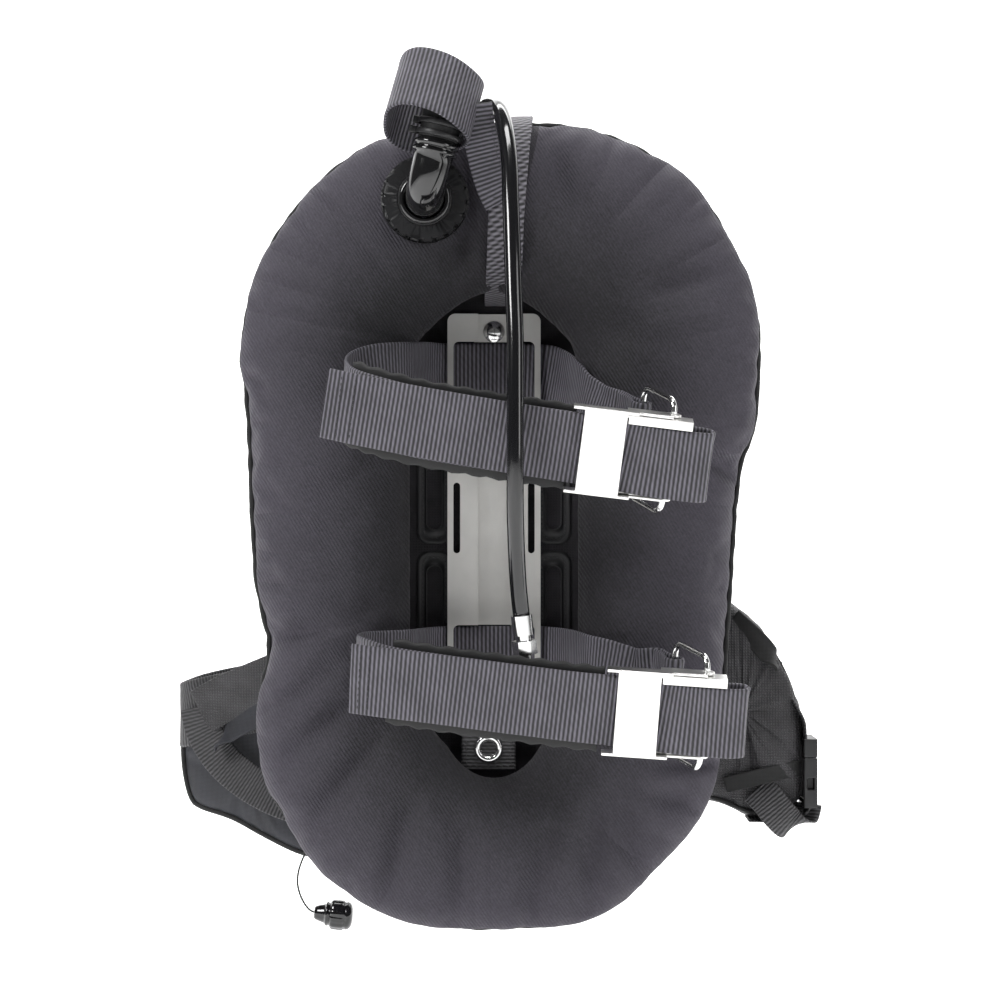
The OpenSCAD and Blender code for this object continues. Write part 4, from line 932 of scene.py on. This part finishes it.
# %% Chest strap
chest = Vector((0, 0.163, -0.236))
left_route = [chest + Vector(p) / 1000 for p in ((-104, -6.4, 0), (-80, -6.4, 0), (-58, -6.4, 0), (-43, -3.2, 0), (-29, 0, 0))]
right_route = [chest + Vector(p) / 1000 for p in ((5, -6.4, 0), (38, -6.4, 0), (70, -6.4, 0), (104, -6.4, 0))]
strap("chest_webbing_left", smooth(left_route, 6), Vector((0, 0, 1)), 0.025, 0.002, harness_webbing, slot="harness_webbing",
      replaces=["chest_strap"])
strap("chest_webbing_right", smooth(right_route, 6), Vector((0, 0, 1)), 0.025, 0.002, harness_webbing, slot="harness_webbing")

# %% [markdown]
# A pad is a flat loft with a seam along its edges. Its points on the seam are pinned, and the gas
# rounds the rest. A thin piping then covers the seam.

# %% Shoulder pads
def pad_rings(route, width, thickness, columns=14):
    rings = []
    for i, p in enumerate(route):
        along = heading(route, i)
        across = square_to(Vector((1, 0, 0)), along)
        out = along.cross(across)
        top = [p + across * width / 2 * math.cos(math.pi * k / columns) + out * thickness / 2 * math.sin(math.pi * k / columns) ** 0.6
               for k in range(columns + 1)]
        under = [p + across * width / 2 * math.cos(math.pi * k / columns) - out * thickness / 2 * math.sin(math.pi * k / columns) ** 0.6
                 for k in range(columns - 1, 0, -1)]
        rings.append(top + under)
    return rings


for side, word in ((-1, "left"), (1, "right")):
    centre_line = smooth(millimetres(across_x(SHOULDER_ROUTE[2:9], side)), 8)
    lowered = []
    for i, p in enumerate(centre_line):
        along = heading(centre_line, i)
        lowered.append(p + along.cross(square_to(Vector((1, 0, 0)), along)) * 0.00745)
    pad = make_piece(f"shoulder_pad_cover_{word}", loft(bmesh.new(), pad_rings(lowered, 0.066, 0.0072)), pad_cloth,
                     slot="pad_fabric", replaces=[f"shoulder_pad_{word}"])
    edges = [[p + square_to(Vector((1, 0, 0)), heading(lowered, i)) * s * 0.033 for i, p in enumerate(lowered)] for s in (-1, 1)]
    tips = {(round(p.x, 5), round(p.y, 5), round(p.z, 5)) for line in edges for p in line}
    seam = pin(pad, lambda i, co: (round(co.x, 5), round(co.y, 5), round(co.z, 5)) in tips)
    inflate(pad, 4.0, 0.0022, seam, slack=0.03)
    round_off(pad)
    bm = bmesh.new()
    for line in edges:
        loft(bm, tube_rings(line, 0.0016, 8))
    make_piece(f"shoulder_pad_piping_{word}", bm, binding_tape, slot="pad_fabric")

# %% [markdown]
# The back pad has a long window in its middle, and the hip pad wraps round the diver's side. Both
# start as an outline pulled through a few insets: out to the widest line and back, like a pillow.

# %% Pillows from an outline
def pillow(bm, outline, centre, turn, thickness, steps=6, window=None):
    """A pillow in its own plane (x across, z up, y through), turned and moved into place."""
    count = len(outline)
    mean = Vector((sum(p[0] for p in outline) / count, 0, sum(p[1] for p in outline) / count))
    def ring(share, y, line=outline):
        made = []
        for (x, z), (wx, wz) in zip(line, window or [(mean.x, mean.z)] * count):
            q = Vector((wx, 0, wz)).lerp(Vector((x, 0, z)), share)
            made.append(centre + turn @ Vector((q.x, y, q.z)))
        return made
    floor = 0.0 if window else 0.06
    rings = []
    for k in range(2 * steps + 1):
        t = math.pi * k / steps
        share = floor + (1 - floor) * (0.5 + 0.5 * math.cos(t)) if window else floor + (1 - floor) * (0.5 + 0.5 * math.cos(t))
        rings.append((share, -thickness / 2 * math.copysign(abs(math.sin(t)) ** 0.6, math.sin(t)) if 0 < k < 2 * steps and k != steps else 0))
    if window:
        return loft(bm, [ring(s, y) for s, y in rings[:-1]], closed=True)
    front = [ring(1 - (1 - floor) * k / steps, -thickness / 2 * (math.sin(math.pi / 2 * min(1, 2.2 * k / steps))) ** 0.6) for k in range(steps + 1)]
    back = [ring(1 - (1 - floor) * k / steps, thickness / 2 * (math.sin(math.pi / 2 * min(1, 2.2 * k / steps))) ** 0.6) for k in range(steps, 0, -1)]
    return loft(bm, back + front)


def fine(points, count):
    return [(p.x, p.z) for p in spaced(smooth_closed([(x / 1000, 0, z / 1000) for x, z in points], 8), count)]


# %% Back pad
low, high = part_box("back_pad")
centre = (low + high) / 2
wide, tall = high.x - low.x - 0.006, high.z - low.z - 0.006
outer = [(x, z) for x, z in outline_loop(wide, tall, 0.026, 10)]
window = [(x, z) for x, z in outline_loop(0.044, tall - 0.034, 0.02, 10)]
bm = pillow(bmesh.new(), outer, centre, Matrix.Identity(3), (high.y - low.y) * 0.8, 8, window)
back_pad = make_piece("back_pad_cover", bm, pad_cloth, slot="pad_fabric", replaces=["back_pad"])
seam = pin(back_pad, lambda i, co: abs(co.y - centre.y) < 1e-5)
inflate(back_pad, 3.0, 0.002, seam, slack=0.02)
round_off(back_pad)

# %% Hip pad
HIP = [(-226, -432), (-237, -437), (-243, -450), (-246, -469), (-245, -490), (-240, -511), (-232, -519), (-205, -527),
       (-178, -540), (-152, -551), (-138, -552), (-132, -540), (-130, -500), (-134, -455), (-148, -434), (-190, -429)]
hip_turn = Matrix.Rotation(math.radians(-22), 3, "Z")
hip_centre = Vector((-0.187, 0.0655, -0.492))
flat_hip = [((x / 1000 - hip_centre.x) / math.cos(math.radians(22)), z / 1000 - hip_centre.z) for x, z in HIP]
outline = [(p.x, p.z) for p in spaced(smooth_closed([(x, 0, z) for x, z in flat_hip], 8), 96)]
bm = pillow(bmesh.new(), outline, hip_centre, hip_turn, 0.0075)
hip_pad = make_piece("hip_pad_cover", bm, pad_lining, slot="pad_fabric", replaces=["hip_pad_left"])
rim_points = {tuple(round(c, 5) for c in hip_centre + hip_turn @ Vector((x, 0, z))) for x, z in outline}
seam = pin(hip_pad, lambda i, co: tuple(round(c, 5) for c in co) in rim_points)
inflate(hip_pad, 3.0, 0.003, seam, slack=0.03)
round_off(hip_pad)
piping = [hip_centre + hip_turn @ Vector((x * 0.972, 0, z * 0.972)) for x, z in outline]
bm = loft(bmesh.new(), tube_rings(piping, 0.002, 8, closed=True), closed=True)
make_piece("hip_pad_piping", bm, binding_tape, slot="pad_fabric")

# %% Webbing loop over the hip pad
wrap = smooth(millimetres([(-140, 30, -405), (-160, 32, -412), (-182, 38, -421), (-207, 50, -432), (-228, 64, -444)]), 8)
strap("hip_wrap_cloth", wrap, Vector((-0.4, 0, 1)), 0.036, 0.0024, pocket_cloth, slot="pad_fabric")
fold = smooth(millimetres([(-150, 27, -424), (-170, 32, -436), (-190, 41, -446), (-206, 50, -457), (-214, 55, -468)]), 8)
strap("hip_fold_cloth", fold, Vector((0.5, 0, 0.8)), 0.026, 0.002, pad_lining, slot="pad_fabric")
over = smooth(millimetres([(-231, 67, -440), (-226, 63, -458), (-212, 56, -479), (-192, 46, -495), (-170, 35, -506),
                           (-148, 28, -513), (-134, 26, -516)]), 8)
strap("hip_loop_webbing", over, Vector((1, 0, 0.9)), 0.028, 0.0022, harness_webbing, slot="harness_webbing")

# %% [markdown]
# ## Weight pocket
# The pocket is a bag of coarse nylon, so it is modelled as a soft box: its outline is pulled from the
# back panel through a rounded side to the front, and then blown up a little. Its flap, piping and the
# webbing of its side-release buckle are separate pieces on it.

# %% Pocket bag
low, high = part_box("weight_pocket")
POCKET = [(150, -363), (174, -362), (184, -370), (198, -382), (211, -398), (222, -420), (227, -440), (230, -466),
          (232, -492), (229, -508), (214, -518), (196, -521), (172, -512), (152, -503), (145, -482), (144, -440), (145, -385)]
outline = [(p.x, p.z) for p in spaced(smooth_closed([(x / 1000, 0, z / 1000) for x, z in POCKET], 8), 120)]
middle = Vector(((low.x + high.x) / 2, 0, (low.z + high.z) / 2))


def pocket_ring(share, y):
    made = []
    for x, z in outline:
        q = Vector((middle.x, 0, middle.z)).lerp(Vector((x, 0, z)), share)
        crumple = 0.0034 * noise.noise(Vector((x * 38 + z * 12, y * 30, z * 22))) + 0.0016 * noise.noise(Vector((x * 90, y * 60, z * 80)))
        made.append(Vector((q.x + crumple, y + crumple * 1.5, q.z + crumple)))
    return made


depth = high.y - low.y
steps = [(0.08, 0.03), (0.4, 0.02), (0.7, 0.015), (0.88, 0.03), (0.96, 0.09), (0.985, 0.2), (0.99, 0.35), (0.97, 0.5), (0.99, 0.65),
         (0.985, 0.8), (0.96, 0.92), (0.88, 0.97), (0.6, 0.985), (0.3, 0.98), (0.08, 0.975)]
bm = loft(bmesh.new(), [pocket_ring(s, low.y + depth * y) for s, y in steps])
pocket = make_piece("pocket_bag", bm, pocket_cloth, slot="pocket_fabric", replaces=["weight_pocket"])
inflate(pocket, 2.5, 0.004, None, slack=0.06, bending=0.2)
round_off(pocket)

# %% Pocket's trims
bm = bmesh.new()
for share, y in ((0.985, 0.1), (0.985, 0.9)):
    line = [Vector((middle.x + (x - middle.x) * share * 0.99, low.y + depth * y, middle.z + (z - middle.z) * share * 0.99))
            for x, z in outline]
    loft(bm, tube_rings(line, 0.0017, 8, closed=True), closed=True)
make_piece("pocket_piping", bm, binding_tape, slot="pocket_fabric")
flap_foot = smooth(millimetres([(172, 32, -497), (188, 30.5, -493), (205, 30.5, -489), (224, 33, -485), (231, 40, -484)]), 8)
strap("pocket_flap_webbing", flap_foot, Vector((0, 0, 1)), 0.012, 0.003, binding_tape, slot="pocket_fabric")
flap_side = smooth(millimetres([(212, 32, -408), (205, 30.5, -398), (193, 31, -384), (178, 34, -370)]), 8)
strap("pocket_side_webbing", flap_side, Vector((-0.6, 0, 1)), 0.016, 0.0026, binding_tape, slot="pocket_fabric")
loops = smooth(millimetres([(196, 33, -500), (204, 28, -508), (212, 27, -518), (222, 31, -527), (230, 38, -524), (234, 44, -512)]), 8)
strap("pocket_loop_webbing", loops, Vector((1, 0, 0.5)), 0.026, 0.0022, harness_webbing, slot="pocket_fabric")
low_b, high_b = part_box("pocket_buckle_female")
x_b = high.x + 0.0016
foot = smooth([Vector((x_b + 0.003, 0.048, high_b.z + 0.001)), Vector((x_b + 0.0015, 0.048, high_b.z + 0.013)),
               Vector((x_b, 0.048, high_b.z + 0.028)), Vector((x_b - 0.008, 0.048, high_b.z + 0.043))], 6)
under_b, top_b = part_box("pocket_buckle_male")
hanging = smooth([Vector((0.19, 0.05, low.z - 0.003)), Vector((0.212, 0.05, low.z - 0.003)), Vector((0.229, 0.05, low.z + 0.001)),
                  Vector((x_b + 0.0045, 0.048, under_b.z - 0.012)), Vector((x_b + 0.005, 0.048, under_b.z - 0.003))], 6)
strap("pocket_top_webbing", foot, Vector((0, 1, 0)), 0.038, 0.0018, harness_webbing, slot="harness_webbing")
strap("pocket_foot_webbing", hanging, Vector((0, 1, 0)), 0.038, 0.0018, harness_webbing, slot="harness_webbing")

# %% [markdown]
# ## Hard parts
# Most hard parts come straight from the engineering model. Each gets its own finish, and modifiers
# that weld its loose triangles, break its sharp edges with a small bevel and even out its shading. The
# edges of real sheet metal and mouldings are never perfectly sharp, and the thin highlight along them
# is what makes them look solid.

# %% Finishes and broken edges on the model's own parts
def dress(names, finish, width=0.0004, angle=35):
    for name in names:
        part = nodes[name]
        part.data.materials.clear()
        part.data.materials.append(finish)
        part.data.shade_smooth()
        if "custom_normal" in part.data.attributes:
            part.data.attributes.remove(part.data.attributes["custom_normal"])
        weld = part.modifiers.new("weld", "WELD")
        weld.merge_threshold = 0.00001
        edge = part.modifiers.new("edges", "BEVEL")
        edge.width, edge.segments, edge.limit_method, edge.angle_limit = width, 2, "ANGLE", math.radians(angle)
        edge.harden_normals = False
        part.modifiers.new("shading", "WEIGHTED_NORMAL").keep_sharp = True


dress(["sta_plate"], blasted_steel, 0.0006)
dress(["upper_buckle_frame", "lower_buckle_frame", "upper_buckle_lever", "lower_buckle_lever"], buckle_steel, 0.0006)
dress(["sta_bolts", "sta_nuts", "upper_wire_link", "lower_wire_link", "lp_ferrule", "lp_fitting", "qd_body", "qd_sleeve",
       "grommet"], polished_steel, 0.0003)
dress(["backplate"], black_plate, 0.0006)
dress(["inflator_body", "dump_body", "dump_cap", "chest_buckle_female", "chest_buckle_male", "waist_buckle_female",
       "waist_buckle_male", "pocket_buckle_female", "pocket_buckle_male"], moulded_black, 0.0008)
dress(["flange_base", "flange_nut"], satin_black, 0.0005)
dress(["mouthpiece"], band_rubber, 0.0008)
dress(["inflate_button"], button_red, 0.0008)
dress(["deflate_button", "dump_seat"], button_grey, 0.0006)

# %% [markdown]
# The elbow is a glossy moulding. Its line is straight out of the flange, a quarter turn and straight
# up, and its collar carries two raised rings. A tube with a changing radius makes all of that in one
# skin, with its bore inside.

# %% Elbow
flange = Vector((-0.053, -0.061, -0.063))
lean = Matrix.Rotation(math.radians(14), 3, "Y")
bend, out_l, collar = 0.020, 0.014, 0.021
path, radii = [], []
for y in (-0.002, -0.006, -0.010, -0.014):
    path.append(Vector((0, y, 0)))
    radii.append(0.014)
for k in range(1, 16):
    t = math.pi / 2 * k / 16
    path.append(Vector((0, -out_l - bend * math.sin(t), bend * (1 - math.cos(t)))))
    radii.append(0.014)
rise = [(0, 0.014), (0.004, 0.014), (0.0095, 0.0142), (0.0103, 0.0163), (0.0115, 0.0165), (0.0128, 0.0165), (0.0136, 0.0145),
        (0.0148, 0.0145), (0.0156, 0.0163), (0.017, 0.0165), (0.0182, 0.0165), (0.019, 0.0143), (0.021, 0.0138)]
for h, r in rise:
    path.append(Vector((0, -out_l - bend, bend + h)))
    radii.append(r)
line = [flange + lean @ p for p in path]
outside = tube_rings(line, radii, 40)
inside = tube_rings(line, 0.0112, 40)
bm = loft(bmesh.new(), outside + inside[::-1], closed=True)
make_piece("elbow_moulding", bm, gloss_black, slot="gloss_plastic", replaces=["elbow"])
print("elbow:", len(line), "rings")

# %% Flange's inner bore ring
bm = bmesh.new()
ring_line = [flange + lean @ Vector((0.0165 * math.cos(t * math.pi / 24), -0.0112, 0.0165 * math.sin(t * math.pi / 24))) for t in range(48)]
loft(bm, tube_rings(ring_line, 0.0021, 10, closed=True), closed=True)
make_piece("bore_ring", bm, gloss_black, slot="gloss_plastic")

# %% [markdown]
# A cable tie is a thin band pulled tight round the hose, with a square head that the tail goes
# through. Bands are short tubes, heads are bevelled cubes.

# %% Cable ties
bm = bmesh.new()
for h, turn in ((0.022, 200), (0.030, 190)):
    at = flange + lean @ Vector((0, -out_l - bend, bend + h + 0.002))
    ring = [at + lean @ Vector((0.0158 * math.cos(k * math.pi / 24), 0.0158 * math.sin(k * math.pi / 24), 0)) for k in range(48)]
    rings = []
    for i, p in enumerate(ring):
        out = (p - at).normalized()
        up = lean @ Vector((0, 0, 1))
        rings.append([p + out * a + up * b for a, b in ((0.0006, -0.0019), (0.0009, -0.0015), (0.0009, 0.0015), (0.0006, 0.0019),
                                                        (-0.0004, 0.0019), (-0.0004, -0.0019))])
    loft(bm, rings, closed=True)
    t = math.radians(turn - h * 1000)
    place = Matrix.Translation(at) @ lean.to_4x4() @ Matrix.Rotation(t, 4, "Z") @ Matrix.Translation((0.0186, 0, 0)) \
        @ Matrix.Diagonal((0.0055, 0.0058, 0.0052, 1))
    head = bmesh.ops.create_cube(bm, size=1, matrix=place)["verts"]
    edges = {e for v in head for e in v.link_edges}
    bmesh.ops.bevel(bm, geom=list(edges), offset=0.0006, segments=2, affect="EDGES", profile=0.5, material=-1)
make_piece("cable_ties", bm, moulded_black, slot="moulded_plastic", replaces=["elbow_ties"])

# %% [markdown]
# The pull knob is turned: half its profile is drawn and spun round its axis. Its grooves are part of
# the profile, and the eight flutes of its grip are pressed in afterwards.

# %% Pull knob
knob_low, knob_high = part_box("dump_knob")
knob_at = Vector((-0.139, 0.026, -0.5925))
PROFILE = [(0.0, 0.0002), (0.0042, 0.0002), (0.0052, 0.001), (0.0062, 0.004), (0.0072, 0.0075), (0.0078, 0.0085), (0.0086, 0.0088),
           (0.0094, 0.0096), (0.0094, 0.0104), (0.0086, 0.0112), (0.0088, 0.012), (0.0102, 0.0126), (0.0112, 0.0138), (0.0115, 0.0155),
           (0.0115, 0.021), (0.0112, 0.0226), (0.0104, 0.0232), (0.0104, 0.0242), (0.0108, 0.025), (0.0102, 0.0268), (0.0086, 0.0284),
           (0.006, 0.0294), (0.0036, 0.0297), (0.003, 0.029), (0.003, 0.024), (0.0, 0.024)]
bm = bmesh.new()
drawn = [bm.verts.new((r, 0, z)) for r, z in PROFILE]
half = [bm.edges.new(pair) for pair in zip(drawn, drawn[1:])]
bmesh.ops.spin(bm, geom=drawn + half, axis=(0, 0, 1), cent=(0, 0, 0), angle=2 * math.pi, steps=64, use_merge=True)
bmesh.ops.remove_doubles(bm, verts=bm.verts, dist=1e-6)
for v in bm.verts:
    if 0.0125 < v.co.z < 0.0235:
        angle = math.atan2(v.co.y, v.co.x)
        v.co.xy *= 1 - 0.05 * max(0.0, math.cos(12 * angle)) ** 2
bmesh.ops.transform(bm, matrix=Matrix.Translation(knob_at) @ Matrix.Rotation(math.radians(96), 4, "Y"), verts=bm.verts)
knob = make_piece("pull_knob", bm, gloss_black, slot="gloss_plastic", replaces=["dump_knob"])
print("knob box, mm:", [round(1000 * c) for c in knob_high - knob_low])

# %% [markdown]
# ## Studio
# A pale floor curves up into a pale backdrop, so there is no horizon. A large soft key light hangs
# high on the left, a second fills from the right, and a third lights the top and the rims.

# %% Floor and backdrop
bm = bmesh.new()
sweep_profile = [(-3.0, -0.64), (0.9, -0.64), (1.15, -0.62), (1.34, -0.54), (1.47, -0.4), (1.55, -0.2), (1.58, 0.1), (1.58, 3.2)]
strip = [bm.verts.new((-4, y, z)) for y, z in sweep_profile]
sides = [bm.edges.new(pair) for pair in zip(strip, strip[1:])]
made = bmesh.ops.extrude_edge_only(bm, edges=sides)["geom"]
bmesh.ops.translate(bm, vec=(8, 0, 0), verts=[v for v in made if isinstance(v, bmesh.types.BMVert)])
bmesh.ops.recalc_face_normals(bm, faces=bm.faces)
mesh = bpy.data.meshes.new("backdrop")
bm.to_mesh(mesh)
bm.free()
mesh.shade_smooth()
backdrop = bpy.data.objects.new("backdrop", mesh)
bpy.context.collection.objects.link(backdrop)
paper, tree, shader = start_finish("paper", (0.96, 0.96, 0.96), 0.9, Emission_Color=(1, 1, 1, 1), Emission_Strength=0.5)
mesh.materials.append(paper)

# %% Lights
def soft_light(name, place, target, size, power):
    lamp = bpy.data.lights.new(name, "AREA")
    lamp.shape, lamp.size, lamp.size_y, lamp.energy = "RECTANGLE", size[0], size[1], power
    stand = bpy.data.objects.new(name, lamp)
    stand.location = place
    stand.rotation_euler = (Vector(target) - Vector(place)).to_track_quat("-Z", "Y").to_euler()
    bpy.context.collection.objects.link(stand)
    return stand


soft_light("key", (-1.9, -1.5, 1.2), (0, -0.1, -0.3), (0.9, 0.9), 50)
soft_light("fill", (2.0, -1.3, 0.3), (0, -0.1, -0.3), (0.8, 1.4), 13)
soft_light("top", (0.2, -0.55, 1.6), (0, 0, -0.35), (1.2, 0.6), 26)
soft_light("back", (0.0, 0.9, 1.6), (0, 1.58, 0.2), (3.0, 0.6), 40)
world = bpy.data.worlds.new("studio")
world.use_nodes = True
world.node_tree.nodes["Background"].inputs["Color"].default_value = (1, 1, 1, 1)
world.node_tree.nodes["Background"].inputs["Strength"].default_value = 0.1
bpy.context.scene.world = world
bpy.context.scene.view_settings.view_transform = "Standard"
